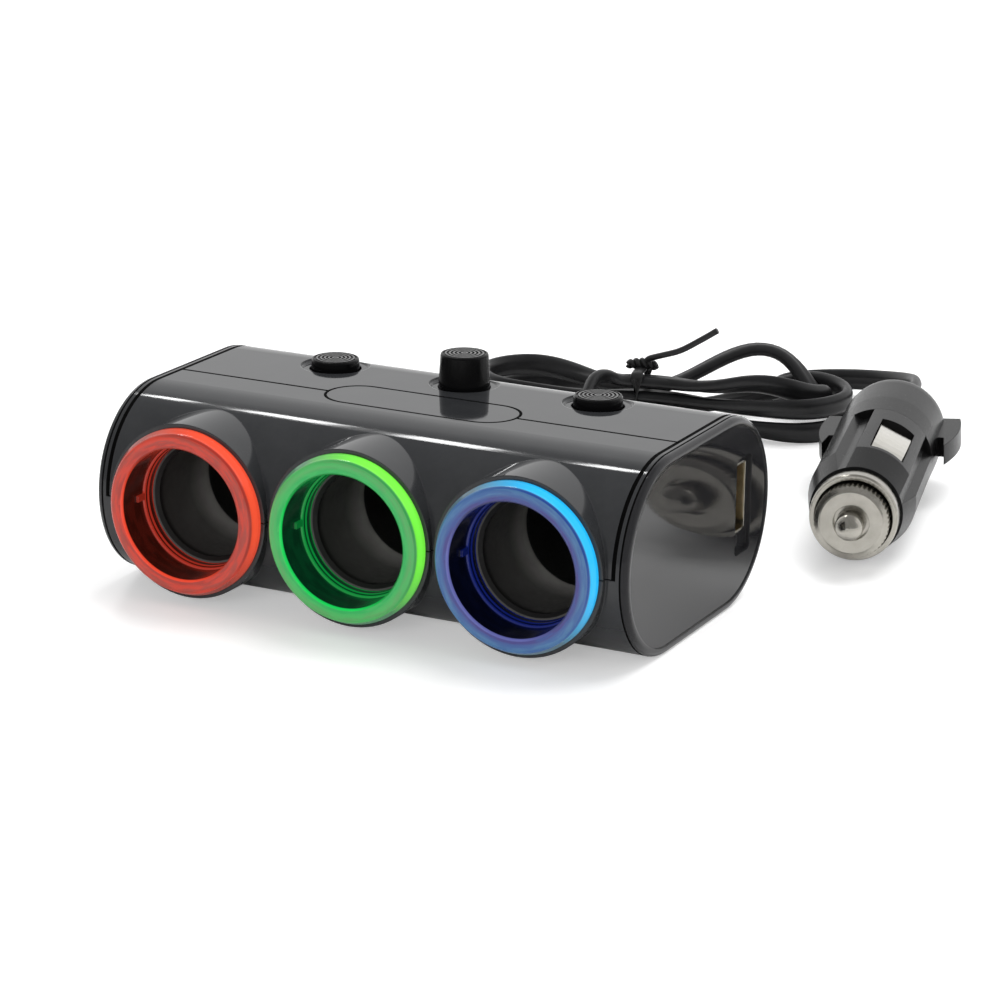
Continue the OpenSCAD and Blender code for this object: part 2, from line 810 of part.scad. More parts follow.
// Oval tube of n sides through all but the first and last point of a path, turned on its side by degrees
module tube(path, w, h, n, turn = []) {
    last = len(path) - 3;
    dirs = [for (i = [0:last]) unit_of(path[i + 2] - path[i])];
    flat = [for (d = dirs) unit_of(cross(d, [0, 0, 1]))];
    lift = [for (i = [0:last]) cross(flat[i], dirs[i])];
    points = [for (i = [0:last], k = [0:n - 1])
        let (q = len(turn) > 0 ? turn[i] : 0, a = w / 2 * cos(360 * (k + 0.5) / n), b = h / 2 * sin(360 * (k + 0.5) / n))
        path[i + 1] + (a * cos(q) - b * sin(q)) * flat[i] + (a * sin(q) + b * cos(q)) * lift[i]];
    faces = concat(
        [[for (k = [0:n - 1]) n - 1 - k]],
        [for (i = [0:last - 1], k = [0:n - 1]) [i * n + k, i * n + (k + 1) % n, (i + 1) * n + k]],
        [for (i = [0:last - 1], k = [0:n - 1]) [i * n + (k + 1) % n, (i + 1) * n + (k + 1) % n, (i + 1) * n + k]],
        [[for (k = [0:n - 1]) last * n + k]]);
    polyhedron(points, faces, convexity = 10);
}

lead = 4;
gland_end = [gland_x, gland_y + gland_l, gland_z];
plug_back = [-sin(plug_yaw), cos(plug_yaw), 0];
housing_path = concat([gland_end - lead * [0, 1, 0], gland_end], housing_route, [hank_points[hank_n], hank_points[hank_n - 1]]);
plug_path = concat([hank_points[1], hank_points[0]], plug_route,
    [plug_end + lead * plug_back, plug_end, plug_end - lead * plug_back]);
hank_path = concat([plug_route[0]], hank_points, [housing_route[len(housing_route) - 1]]);

// The flat cord turns from its end at the hank to its end at the gland or the plug
function easing(path, q) = [for (i = [0:len(path) - 3]) q * smooth(1 - i / 3)];

cord_length = total(along(housing_path)) + total(along(hank_path)) + total(along(plug_path)) - 6 * lead;

// Least gap between two stretches of the hank, by how far their oval outlines stand apart
function spread(d, q) = norm([(norm([d.x, d.y]) * cos(q) + abs(d.z) * sin(q)) / cord_w,
    (abs(d.z) * cos(q) - norm([d.x, d.y]) * sin(q)) / cord_h]);
hank_gap = min([for (i = [0:hank_n - 6], j = [i + 6:hank_n])
    let (d = hank_points[i] - hank_points[j]) norm(d) * (1 - 1 / max(spread(d, hank_lying[i]), 0.01))]);
echo(cord_length = cord_length, hank_gap = hank_gap);

module cord_from_housing() {
    color(black) mirror_tube(housing_path, hank_lying[hank_n]);
}

module mirror_tube(path, q) {
    n = len(path) - 1;
    tube([for (i = [0:n]) path[n - i]], cord_w, cord_h, 8, easing(path, -q));
}

module cord_hank() {
    color(black) tube(hank_path, cord_w, cord_h, 6, hank_lying);
}

module cord_to_plug() {
    color(black) tube(plug_path, cord_w, cord_h, 8, easing(plug_path, -hank_lying[0]));
}

// Wire tie round the waist of the hank, with its twist and its tail
tie_at = -3;
tie_w = 2.6;
tie_t = 0.7;
tie_room = 0.5;
tie_under = 0.15;
tie_high = 3 * cord_w + 2 * hank_layer_gap;
tie_wide = 2 * hank_waist + cord_h;
knot_r = 1.5;
knot_lobes = [[-2.6, 0.2, 0.5], [0, -0.5, 0.4], [2.4, 0.4, 0.9]];
tail_r = 0.7;
tail_path = [[-0.5, 0, -1.5], [0, 0, -0.5], [1.6, -0.5, 1.9], [4.5, -1.7, 3.1], [8.9, -3.4, 4.9],
    [13.2, -4.5, 7.6], [17.3, -5.3, 10.4], [18.2, -5.5, 11]];

module cord_tie() {
    color(black) translate([hank_x, hank_y, hank_lift]) rotate([0, 0, hank_turn]) translate([tie_at, 0, 0]) {
        difference() {
            block([-tie_w / 2, -tie_wide / 2 - tie_room - tie_t, -tie_under - tie_t],
                [tie_w / 2, tie_wide / 2 + tie_room + tie_t, tie_high + tie_room + tie_t]);
            block([-tie_w, -tie_wide / 2 - tie_room, -tie_under], [tie_w, tie_wide / 2 + tie_room, tie_high + tie_room]);
        }
        translate([0, 0, tie_high + tie_room + tie_t]) {
            for (lobe = knot_lobes) translate(lobe) sphere(r = knot_r, $fn = 24);
            tube(tail_path, 2 * tail_r, 2 * tail_r, 8);
        }
    }
}

// Plug, drawn along its axis from the nose ring (zero) to the cord
module plug_frame(turn = 0) {
    translate([plug_x, plug_y, plug_r]) rotate([0, 0, plug_yaw]) rotate([-90, 0, 0]) rotate([0, 0, plug_roll + turn])
        children();
}

barrel_from = 3;
land_w = 11.4;
land_front_r = plug_core_r;
land_taper_l = 9;
fuse_r = 3;
fuse_l = 26;
bore_r = 4.1;
tube_r = 5.4;
nose_l = 3;
window_from = 13.4;
window_l = 19.6;
window_w = 7;
window_floor_r = 5.4;
barrel_end_wall = 2;

module land_ring() {
    rotate_extrude() polygon([
        [tube_r, barrel_from],
        [land_front_r, barrel_from],
        [plug_r, barrel_from + land_taper_l],
        [plug_r, barrel_l],
        [tube_r, barrel_l]]);
}

module plug_barrel() {
    color(charcoal) plug_frame() difference() {
        union() {
            translate([0, 0, barrel_from]) cylinder(r = plug_core_r, h = barrel_l - barrel_from);
            intersection() {
                land_ring();
                union() {
                    translate([-far, -land_w / 2, 0]) cube([2 * far, land_w, far]);
                    translate([-land_w / 2, -far, 0]) cube([land_w, 2 * far, far]);
                }
            }
            translate([0, 0, -nose_l]) cylinder(r = tube_r, h = nose_l + barrel_from);
        }
        translate([0, 0, -nose_l - over]) cylinder(r = bore_r, h = nose_l + over + barrel_l - barrel_end_wall);
        for (s = [-1, 1]) translate([s > 0 ? window_floor_r : -far, -window_w / 2, window_from])
            cube([far - window_floor_r, window_w, window_l]);
    }
}

// Handle with a finger hook on each side
handle_r = 10.6;
handle_end_r = 8.4;
handle_round = 6;
hook_r = 14.2;
hook_bow = 2;
hook_from = 4;
hook_mid = 17;
hook_to = 25;
hook_root = 10;
hook_gap = 1;
hook_t = 4;
hook_turn = 62;

module plug_handle() {
    shoulder = [for (a = [0:15:90])
        [handle_end_r + (handle_r - handle_end_r) * cos(a), handle_l - handle_round * (1 - sin(a))]];
    outer = [for (z = [hook_from:hook_to]) [hook_r - hook_bow * pow((z - hook_mid) / (hook_mid - hook_from), 2), z]];
    color(charcoal) {
        plug_frame() translate([0, 0, barrel_l]) rotate_extrude() polygon(concat(
            [[0, 0], [plug_r, 0], [handle_r, handle_l / 3]], shoulder, [[0, handle_l]]));
        for (side = [0, 180]) plug_frame(hook_turn + side) translate([0, hook_t / 2, barrel_l]) rotate([90, 0, 0])
            linear_extrude(hook_t) polygon(concat(outer, [
                [handle_end_r / 2, hook_to],
                [handle_end_r / 2, hook_root + hook_gap],
                [handle_r + hook_gap, hook_root]]));
    }
}

// Strain relief with grooves round it
relief_r = 4.8;
relief_end_wall = 0.7;
relief_groove = 0.5;
relief_end_r = cord_h / 2 + relief_end_wall;
relief_n = 5;

module plug_strain_relief() {
    step = relief_l / relief_n;
    slope = (relief_r - relief_end_r) / relief_l;
    color(black) plug_frame() translate([0, 0, barrel_l + handle_l]) rotate_extrude() polygon(concat(
        [[0, 0]],
        [for (i = [0:relief_n - 1], j = [0:3])
            let (z = i * step + [0, 0.6, 0.65, 0.95][j] * step) [relief_r - slope * z - (j > 1 ? relief_groove : 0), z]],
        [[relief_end_r, relief_l], [0, relief_l]]));
}

// Nickel ring behind the nose cap
collar_r = 8.45;
collar_from = -0.9;
collar_lip = 0.5;

module plug_collar() {
    color(nickel) plug_frame() rotate_extrude() polygon([
        [tube_r + fit, collar_from + collar_lip],
        [collar_r - 3 * collar_lip, collar_from + collar_lip],
        [collar_r - 2 * collar_lip, collar_from],
        [collar_r - collar_lip / 2, collar_from],
        [collar_r, collar_from + collar_lip],
        [collar_r, barrel_from],
        [tube_r + fit, barrel_from]]);
}

// Knurled nose cap that unscrews to reach the fuse
cap_r = 7.1;
cap_face_r = 6.2;
cap_hole_r = 3.4;
cap_face_l = 1.2;
cap_gap = 0.25;
knurl_n = 48;
knurl_r = 0.3;

module plug_nose_cap() {
    from = -nose_l - cap_face_l;
    color(nickel) plug_frame() difference() {
        rotate_extrude() polygon([
            [cap_hole_r, from],
            [cap_face_r - cap_gap, from],
            [cap_face_r, from + cap_gap],
            [cap_r, from + 2 * cap_gap],
            [cap_r, collar_from - cap_gap / 2],
            [tube_r + free_fit, collar_from - cap_gap / 2],
            [tube_r + free_fit, -nose_l - cap_gap],
            [cap_hole_r, -nose_l - cap_gap]]);
        for (k = [0:knurl_n - 1]) rotate([0, 0, k * 360 / knurl_n]) translate([cap_r + knurl_r / 3, 0, from])
            cylinder(r = knurl_r, h = far, $fn = 16);
    }
}

// Centre pin with a rounded tip and a flange inside the cap
pin_r = 2.7;
pin_tip = -9.2;
pin_flange_r = 3.8;
pin_flange_t = 0.8;
pin_back = 2.2;

module plug_centre_pin() {
    tip = [for (a = [0:10:90]) [pin_r * sin(a), pin_tip + pin_r * (1 - cos(a))]];
    color(nickel) plug_frame() rotate_extrude() polygon(concat(tip, [
        [pin_r, -nose_l],
        [pin_flange_r, -nose_l],
        [pin_flange_r, -nose_l + pin_flange_t],
        [pin_r, -nose_l + pin_flange_t],
        [pin_r, pin_back],
        [0, pin_back]]));
}

module plug_fuse() {
    end_l = fuse_l / 5;
    color([0.85, 0.88, 0.88]) plug_frame() translate([0, 0, pin_back]) {
        cylinder(r = fuse_r, h = end_l);
        cylinder(r = fuse_r - free_fit, h = fuse_l);
        translate([0, 0, fuse_l - end_l]) cylinder(r = fuse_r, h = end_l);
    }
}

// Spring behind the fuse, drawn pressed, on a seat at the bore's end
pin_travel = 2.5;
spring_wire = 0.5;
spring_turns = 4;
spring_from = pin_back + fuse_l + pin_travel + 2 * free_fit;
spring_to = barrel_l - barrel_end_wall;

module plug_pin_spring() {
    steps = 12 * spring_turns;
    rise = spring_to - spring_from - 2 * spring_wire;
    path = [for (i = [-1:steps + 1]) [(fuse_r - spring_wire) * cos(i * 30), (fuse_r - spring_wire) * sin(i * 30),
        spring_from + spring_wire + rise * i / steps]];
    color(nickel) plug_frame() tube(path, 2 * spring_wire, 2 * spring_wire, 6);
}

// Side contacts: a bowed leaf in each window, held at its rear end
leaf_t = 0.5;
leaf_w = 6.5;
leaf_end_r = 8.6;
leaf_top_r = 10.75;
leaf_clear = 0.4;

module side_leaf(turn) {
    l = window_l - 2 * leaf_clear;
    arc = [for (i = [0:12]) [leaf_end_r + (leaf_top_r - leaf_end_r) * sin(180 * i / 12), window_from + leaf_clear + l * i / 12]];
    under = [for (i = [12:-1:0]) [arc[i].x - leaf_t, arc[i].y]];
    color(nickel) plug_frame(turn) rotate([90, 0, 0]) translate([0, 0, -leaf_w / 2])
        linear_extrude(leaf_w) polygon(concat(arc, under));
}

module plug_side_contact() { side_leaf(0); }
module plug_far_contact() { side_leaf(180); }

// Strips under the leaves that carry the return current back to the cord
strip_t = 0.3;
strip_foot = 0.8;
strip_gap = 0.15;

module plug_contact_strips() {
    for (turn = [0, 180]) color(brass) plug_frame(turn) translate([window_floor_r, -leaf_w / 4, window_from + leaf_clear]) {
        cube([strip_t, leaf_w / 2, window_l - 2 * leaf_clear]);
        translate([0, 0, window_l - 2 * leaf_clear - strip_foot])
            cube([leaf_end_r - leaf_t - strip_gap - window_floor_r, leaf_w / 2, strip_foot]);
    }
}

lower_shell();
front_cover();
rear_cover();
left_end_cap();
right_end_cap();
badge_plate();
light_ring_red();
light_ring_green();
light_ring_blue();
socket_sleeve_red();
socket_sleeve_green();
socket_sleeve_blue();
socket_cup_red();
socket_cup_green();
socket_cup_blue();
socket_base_red();
socket_base_green();
socket_base_blue();
centre_contact_red();
centre_contact_green();
centre_contact_blue();
left_button();
middle_button();
right_button();
left_switch();
middle_switch();
right_switch();
main_board();
board_components();
usb_board();
usb_shell();
usb_tongue();
usb_contacts();
positive_bus();
ground_bus();
ring_leds();
housing_screws();
cord_gland();
cord_from_housing();
cord_hank();
cord_to_plug();
cord_tie();
plug_barrel();
plug_handle();
plug_strain_relief();
plug_collar();
plug_nose_cap();
plug_centre_pin();
plug_fuse();
plug_pin_spring();
plug_side_contact();
plug_far_contact();
plug_contact_strips();
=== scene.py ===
import json
from math import cos, sin, pi, radians, hypot

import bpy
import bmesh
from mathutils import Matrix, Vector


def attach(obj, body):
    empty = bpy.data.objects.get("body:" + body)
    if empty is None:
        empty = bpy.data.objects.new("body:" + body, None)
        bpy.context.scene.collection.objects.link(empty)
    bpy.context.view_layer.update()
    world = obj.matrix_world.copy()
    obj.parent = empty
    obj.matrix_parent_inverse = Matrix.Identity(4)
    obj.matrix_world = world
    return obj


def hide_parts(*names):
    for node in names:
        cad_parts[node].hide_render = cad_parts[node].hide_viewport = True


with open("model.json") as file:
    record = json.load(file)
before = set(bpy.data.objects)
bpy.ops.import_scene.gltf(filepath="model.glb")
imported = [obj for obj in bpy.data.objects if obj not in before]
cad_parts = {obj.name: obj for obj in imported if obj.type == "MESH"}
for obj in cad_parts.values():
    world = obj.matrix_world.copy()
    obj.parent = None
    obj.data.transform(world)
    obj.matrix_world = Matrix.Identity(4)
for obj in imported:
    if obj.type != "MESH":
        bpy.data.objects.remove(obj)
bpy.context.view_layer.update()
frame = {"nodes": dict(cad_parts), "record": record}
nodes = frame["nodes"]
print("frame loaded:", len(nodes), "nodes")

mm = 0.001


# small helpers
def link(ob):
    bpy.context.scene.collection.objects.link(ob)
    return ob


def keep(ob, body, slot, *replaced):
    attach(ob, body)
    if replaced:
        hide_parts(*replaced)
    return ob


def fromBmesh(bm, name, smooth=True):
    data = bpy.data.meshes.new(name)
    bm.to_mesh(data)
    bm.free()
    for face in data.polygons:
        face.use_smooth = smooth
    return link(bpy.data.objects.new(name, data))


def evaluated(ob, name):
    deps = bpy.context.evaluated_depsgraph_get()
    data = bpy.data.meshes.new_from_object(ob.evaluated_get(deps))
    data.name = name
    return data


# camera, in metres; lens and sensor in mm
cameraSetup = {
    "place": (0.28222, -0.52577, 0.19882),
    "right": (0.889584, 0.456651, 0.010449),
    "down": (0.141848, -0.25444, -0.956629),
    "forward": (-0.434187, 0.852485, -0.291121),
    "lens": 122.17, "sensor": 36,
    "clip": (0.02, 20),
}


def addCamera(c):
    data = bpy.data.cameras.new("camera")
    data.sensor_width = c["sensor"]
    data.lens = c["lens"]
    data.clip_start, data.clip_end = c["clip"]
    cam = link(bpy.data.objects.new("camera", data))
    turn = Matrix((c["right"], [-v for v in c["down"]], [-v for v in c["forward"]])).transposed()
    cam.matrix_world = Matrix.Translation(c["place"]) @ turn.to_4x4()
    bpy.context.scene.camera = cam


addCamera(cameraSetup)


# lengths in the dictionaries from here to the tie are in mm, angles in degrees

# cord: one flat lead from the gland, through the hank, to the plug
cordShape = {
    "wide": 4.7,
    "thick": 2.8,
    "groove": 0.22,  # depth of the line between the two cores
    "grooveWide": 0.7,
    "around": 28,  # points on its outline
    "steps": 4,  # points from one route point to the next
    "loopSteps": 300,  # points along the hank
    "straight": 4,  # straight length at the gland and at the plug
    "turnOver": 3,  # route points over which it turns between flat and upright
}
gland = {"end": (-20, 44.1, 18.1)}
housingRoute = [
    (-20, 48, 18.1), (-20.2, 52.5, 17.1), (-20.8, 57, 14.2), (-21.6, 61, 10.2), (-22.4, 65, 6.4),
    (-23, 70, 3.6), (-23.2, 75.5, 2.5), (-23, 82, 2.4), (-22.3, 89, 2.4), (-20.9, 95.3, 2.6),
    (-19.9, 102, 4.6), (-20.4, 108.6, 7.8), (-21.5, 114.1, 10.2), (-21.3, 119.1, 10.4)]
plugRoute = [
    (11.6, 149.2, 2.4), (5.1, 153.9, 2.4), (4.2, 160.4, 2.5), (9.2, 165.6, 2.8), (17.4, 167.2, 3.6),
    (26.2, 164.4, 5), (34.6, 157.2, 7.2), (40.1, 147, 9.4)]
plugPlace = {"at": (64.4, 48.8, 10.4), "yaw": 14, "roll": -65, "length": 84}
hank = {
    "at": (-13, 128), "turn": 13,
    "right": 42, "left": 38, "last": 37,  # reach of the loops to each side, and of the last one
    "wide": 22.5, "lastWide": 17, "waist": 2.7,
    "lift": 0.9, "layerGap": 0.5,
    "from": 30, "total": 850,  # where the winding starts, and how far round it goes
    "climbAt": 275, "climb": 50,  # where the first layer rises to the second, and over what span
    "lastFrom": 540,  # where the last loop starts
    "arch": (595, 735, 40),  # where the cord lies flat on its way over: from, to, ease
    "hump": (7.8, 623, 78),  # height, then from and span
    "dip": (4.2, 672, 105),
}


def eased(t):
    t = min(max(t, 0), 1)
    return t * t * (3 - 2 * t)


def between(a, b, c, d, t):
    # point of the smooth line from b to c, with a before them and d after
    bend = (2 * a - 5 * b + 4 * c - d) * t * t + (3 * b - a - 3 * c + d) * t ** 3
    return 0.5 * (2 * b + (c - a) * t + bend)


def layerAt(t):
    climbed = -t - hank["climbAt"]
    return eased(climbed / hank["climb"]) + eased((climbed - 360) / hank["climb"])


def swell(t, shape):
    height, start, span = shape
    k = (-t - start) / span
    return height * sin(pi * k) ** 2 if 0 < k < 1 else 0


def lyingAt(t):
    start, stop, ease = hank["arch"]
    sprung = min(eased((-t - start) / ease), eased((stop + t) / ease))
    return 90 * max(sin(radians(t)) ** 4, sprung)


def hankPlace(u, v, z):
    turn = radians(hank["turn"])
    return Vector((
        hank["at"][0] + u * cos(turn) - v * sin(turn),
        hank["at"][1] + u * sin(turn) + v * cos(turn),
        z))


def hankPoint(a):
    t = hank["from"] - a
    s, c = sin(radians(t)), cos(radians(t))
    early = t > -hank["lastFrom"]
    reach = hank["left"] if c < 0 else hank["right"] if early else hank["last"]
    wide = hank["wide"] if early else hank["lastWide"]
    q = radians(lyingAt(t))
    tall = hypot(cordShape["wide"] * cos(q), cordShape["thick"] * sin(q))
    z = tall / 2 + hank["lift"] * s ** 4 + (tall + hank["layerGap"]) * layerAt(t)
    return hankPlace(reach * c, s * (wide - (wide - hank["waist"]) * s ** 4),
                     z + swell(t, hank["hump"]) - swell(t, hank["dip"]))


def cordLine():
    yaw = radians(plugPlace["yaw"])
    back = Vector((-sin(yaw), cos(yaw), 0))
    end = Vector(plugPlace["at"]) + back * plugPlace["length"]
    points, tilts = [], []

    def through(route, startTilt, endTilt):
        # the route's first and last points only steer the line
        p = [Vector(q) for q in route]
        n = len(p) - 3
        for i in range(1, len(p) - 2):
            a, b, c, d = p[i - 1:i + 3]
            for j in range(cordShape["steps"]):
                t = j / cordShape["steps"]
                points.append(between(a, b, c, d, t))
                w = (i - 1 + t) / n
                tilts.append(startTilt * eased(1 - w * n / cordShape["turnOver"])
                             + endTilt * eased(1 - (1 - w) * n / cordShape["turnOver"]))

    count = cordShape["loopSteps"]
    loops = [hankPoint(hank["total"] * i / count) for i in range(count + 1)]
    loopTilts = [lyingAt(hank["from"] - hank["total"] * i / count) for i in range(count + 1)]
    start = Vector(gland["end"])
    inward = Vector((0, -cordShape["straight"], 0))
    back *= cordShape["straight"]
    through([start + inward, start] + housingRoute + [loops[-1], loops[-6]], 0, loopTilts[-1])
    points.extend(reversed(loops))
    tilts.extend(reversed(loopTilts))
    points.pop()
    tilts.pop()
    through([loops[6], loops[0]] + plugRoute + [end + back, end, end - back], loopTilts[0], 0)
    points.append(end)
    tilts.append(0)
    return points, tilts


def wireMesh(name, splines, width=0, section=None):
    # each spline is its points, their tilts and whether it is closed; section is a closed outline
    line = bpy.data.curves.new(name, "CURVE")
    line.dimensions = "3D"
    line.twist_mode = "Z_UP"
    line.use_fill_caps = True
    sectionOb = None
    if section:
        outline = bpy.data.curves.new(name + "Section", "CURVE")
        outline.dimensions = "2D"
        ring = outline.splines.new("POLY")
        ring.points.add(len(section) - 1)
        for point, (x, y) in zip(ring.points, section):
            point.co = (x * mm, y * mm, 0, 1)
        ring.use_cyclic_u = True
        sectionOb = link(bpy.data.objects.new(name + "Section", outline))
        line.bevel_mode = "OBJECT"
        line.bevel_object = sectionOb
    else:
        line.bevel_depth = width / 2 * mm
        line.bevel_resolution = 4
    for points, tilts, closed in splines:
        s = line.splines.new("POLY")
        s.points.add(len(points) - 1)
        for target, p, q in zip(s.points, points, tilts):
            target.co = (*(Vector(p) * mm), 1)
            target.tilt = radians(q)
        s.use_cyclic_u = closed
    lineOb = link(bpy.data.objects.new(name + "Line", line))
    bpy.context.view_layer.update()
    data = evaluated(lineOb, name)
    bpy.data.objects.remove(lineOb)
    if sectionOb:
        bpy.data.objects.remove(sectionOb)
    bm = bmesh.new()
    bm.from_mesh(data)
    bmesh.ops.remove_doubles(bm, verts=bm.verts, dist=0.001 * mm)
    bmesh.ops.recalc_face_normals(bm, faces=bm.faces)
    bm.to_mesh(data)
    bm.free()
    for face in data.polygons:
        face.use_smooth = True
    return data


def cordSection():
    outline = []
    for i in range(cordShape["around"]):
        a = 2 * pi * i / cordShape["around"]
        x, y = cordShape["thick"] / 2 * cos(a), cordShape["wide"] / 2 * sin(a)
        dent = cordShape["groove"] * max(0, 1 - (y / cordShape["grooveWide"]) ** 2)
        outline.append((x - (dent if x > 0 else -dent), y))
    return outline


def buildCord():
    points, tilts = cordLine()
    mesh = wireMesh("flatCord", [(points, tilts, False)], section=cordSection())
    ob = link(bpy.data.objects.new("flatCord", mesh))
    length = sum((b - a).length for a, b in zip(points, points[1:])) * mm
    keep(ob, "housing", "cord_black", "cord_from_housing", "cord_hank", "cord_to_plug")
    print("cord length", round(length, 3))
    return ob, points, length


flatCord, cordPoints, cordReach = buildCord()


# painted shade in the joints between the shells and round the badge: a strip of black in each seam, a hair
# proud of it, stands for the shade in the gap
seams = {
    "proud": 0.02, "thick": 0.3,
    "front": -11.25, "rear": 14.95, "radius": 18.1, "axis": 18.1,  # housing's side outline: two half rounds
    "coverAt": 51.1, "coverWide": 0.75, "capAt": 52.3, "capWide": 0.32,
    "topY": -3.55, "topWide": 0.6,
    "plateY": -3.15, "plate": (38.2, 11.8), "plateGap": (-0.02, 0.5),  # inlay, and the painted shade line round it
    "turn": 5, "plateTurn": 6,  # degrees from one outline point to the next
}


def flatCurve(name, splines, extrude, filled):
    data = bpy.data.curves.new(name, "CURVE")
    data.dimensions = "2D"
    data.fill_mode = "BOTH" if filled else "NONE"
    data.extrude = extrude * mm
    for points, closed in splines:
        line = data.splines.new("POLY")
        line.points.add(len(points) - 1)
        for point, (u, v) in zip(line.points, points):
            point.co = (u * mm, v * mm, 0, 1)
        line.use_cyclic_u = closed
    ob = link(bpy.data.objects.new(name, data))
    me = evaluated(ob, name)
    bpy.data.objects.remove(ob)
    return me


def stadium(k, grow, whole):
    r = k["radius"] + grow
    low = -90 if whole else 0
    turns = [(r * cos(radians(a)), k["axis"] + r * sin(radians(a))) for a in range(low, 91, k["turn"])]
    return [(k["rear"] + y, z) for y, z in turns] + [(k["front"] - y, z) for y, z in reversed(turns)]


def racetrack(length, width, y, step):
    r, straight = width / 2, (length - width) / 2
    return [(side * straight + r * cos(radians(a + turn)), y + r * sin(radians(a + turn)))
            for side, turn in ((1, 0), (-1, 180)) for a in range(-90, 91, step)]


def inOrder(bm):
    # solidify's order of faces changes from run to run, so they are sorted along a slanting line
    slant = Vector((1, 1.618, 2.718))
    bm.verts.sort(key=lambda v: v.co.dot(slant))
    bm.faces.sort(key=lambda f: f.calc_center_median().dot(slant))


def buildSeamShade(k):
    bm = bmesh.new()
    for whole, at, wide in ((False, k["coverAt"], k["coverWide"]), (True, k["capAt"], k["capWide"])):
        me = flatCurve("seamBand", [(stadium(k, k["proud"], whole), whole)], wide / 2, False)
        for side in (-1, 1):
            # stands the band upright across the housing, at this x
            upright = Matrix(((0, 0, 1, side * at * mm), (1, 0, 0, 0), (0, 1, 0, 0), (0, 0, 0, 1)))
            copy = me.copy()
            copy.transform(upright)
            bm.from_mesh(copy)
    bmesh.ops.recalc_face_normals(bm, faces=bm.faces)
    bmesh.ops.solidify(bm, geom=bm.faces, thickness=k["thick"] * mm)
    inOrder(bm)
    length, width = k["plate"]
    inner, outer = k["plateGap"]
    half = k["topWide"] / 2
    near, far = k["topY"] - half, k["topY"] + half
    bars = [([(a, near), (b, near), (b, far), (a, far)], True)
            for a, b in ((-k["coverAt"], -length / 2 - outer), (length / 2 + outer, k["coverAt"]))]
    tracks = [(racetrack(length + 2 * g, width + 2 * g, k["plateY"], k["plateTurn"]), True)
              for g in (inner, outer)]
    top = flatCurve("seamTop", bars + tracks, k["thick"] / 2, True)
    top.transform(Matrix.Translation((0, 0, (k["axis"] + k["radius"] + k["proud"] - k["thick"] / 2) * mm)))
    bm.from_mesh(top)
    return keep(fromBmesh(bm, "seamShadeStrip", False), "housing", "inner_black")


seamShadeStrip = buildSeamShade(seams)
print("seams made")


# wire tie round the waist of the hank: flat band, twisted knot and tail
tie = {
    "at": -3,  # along the hank from its middle
    "wide": 2.6, "thick": 0.7, "room": 0.5, "under": 0.15, "corner": 1.1,
    "high": 9.4, "halfWide": 5.05,  # bundle of cord inside it
    "cornerSteps": 5, "around": 20,  # points round a corner of the band, and round its section
    "twist": {
        "reach": 3.28, "radius": 0.75, "thinner": 0.5, "turns": 2.5,
        "wire": 1.15, "above": 0.9, "sag": 0.4, "steps": 60},
    "tail": [
        (0, 0, -0.2), (0.8, -0.2, 0.9), (1.6, -0.5, 1.9), (4.5, -1.7, 3.1),
        (8.9, -3.4, 4.9), (13.2, -4.5, 7.6), (17.3, -5.3, 10.4)],
    "tailWide": 1.35, "tailSteps": 5,
}


def buildTie(t):
    middle = t["thick"] / 2
    top = hank["lift"] + t["high"] + t["room"] + middle
    low = hank["lift"] - t["under"] - middle
    side = t["halfWide"] + t["room"] + middle
    corners = [(side, low), (side, top), (-side, top), (-side, low)]
    loop = []
    r = t["corner"]
    for i, (v, z) in enumerate(corners):
        acrossSign, upSign = (1 if v > 0 else -1), (1 if z > low else -1)
        for step in range(t["cornerSteps"] + 1):
            a = radians(90 * (i - 1) + 90 / t["cornerSteps"] * step)
            loop.append(hankPlace(t["at"], v - acrossSign * r + r * cos(a), z - upSign * r + r * sin(a)))
    turns = [2 * pi * i / t["around"] for i in range(t["around"])]
    band = [(t["wide"] / 2 * cos(a), t["thick"] / 2 * sin(a)) for a in turns]
    k = t["twist"]
    n = k["steps"]
    coils = []
    for phase in (0, pi):
        coil = []
        for i in range(n + 1):
            u = i / n * 2 - 1
            a = 2 * pi * k["turns"] * i / n + phase
            r = k["radius"] * (1 - k["thinner"] * u * u)
            z = top + k["above"] + r * sin(a) - k["sag"] * u * u
            coil.append(hankPlace(t["at"] + k["reach"] * u, r * cos(a), z))
        coils.append((coil, [0] * len(coil), False))
    tail = [hankPlace(t["at"] + u, v, top + middle + z) for u, v, z in t["tail"]]
    smoothTail = []
    for i in range(len(tail) - 1):
        a, b, c, d = tail[max(i - 1, 0)], tail[i], tail[i + 1], tail[min(i + 2, len(tail) - 1)]
        smoothTail.extend(between(a, b, c, d, j / t["tailSteps"]) for j in range(t["tailSteps"]))
    smoothTail.append(tail[-1])
    bm = bmesh.new()
    bm.from_mesh(wireMesh("tieBand", [(loop, [0] * len(loop), True)], section=band))
    bm.from_mesh(wireMesh("tieKnot", coils, k["wire"]))
    bm.from_mesh(wireMesh("tieTail", [(smoothTail, [0] * len(smoothTail), False)], t["tailWide"]))
    ob = fromBmesh(bm, "wireTie")
    return keep(ob, "housing", "tie_black", "cord_tie")


wireTie = buildTie(tie)
print("cord and tie made")


# materials
# noise patterns: scale per metre, detail, roughness
patterns = {
    "haze": (140, 5, 0.65), "wipe": (60, 4, 0.6), "blotch": (120, 4, 0.6), "stain": (200, 4, 0.6),
    "worn": (500, 4, 0.6), "ripple": (700, 3, 0.5), "speck": (900, 3, 0.5), "dull": (1200, 2, 0.5),
    "fine": (2500, 2, 0.5), "cast": (90, 3, 0.5), "flow": (1300, 3, 0.55), "floor": (6, 2, 0.5),
}
# between which two values a pattern goes from one colour to the other
spans = {"haze": (0.35, 0.75), "blotch": (0.35, 0.7), "tint": (0.3, 0.75), "flow": (0.42, 0.58)}
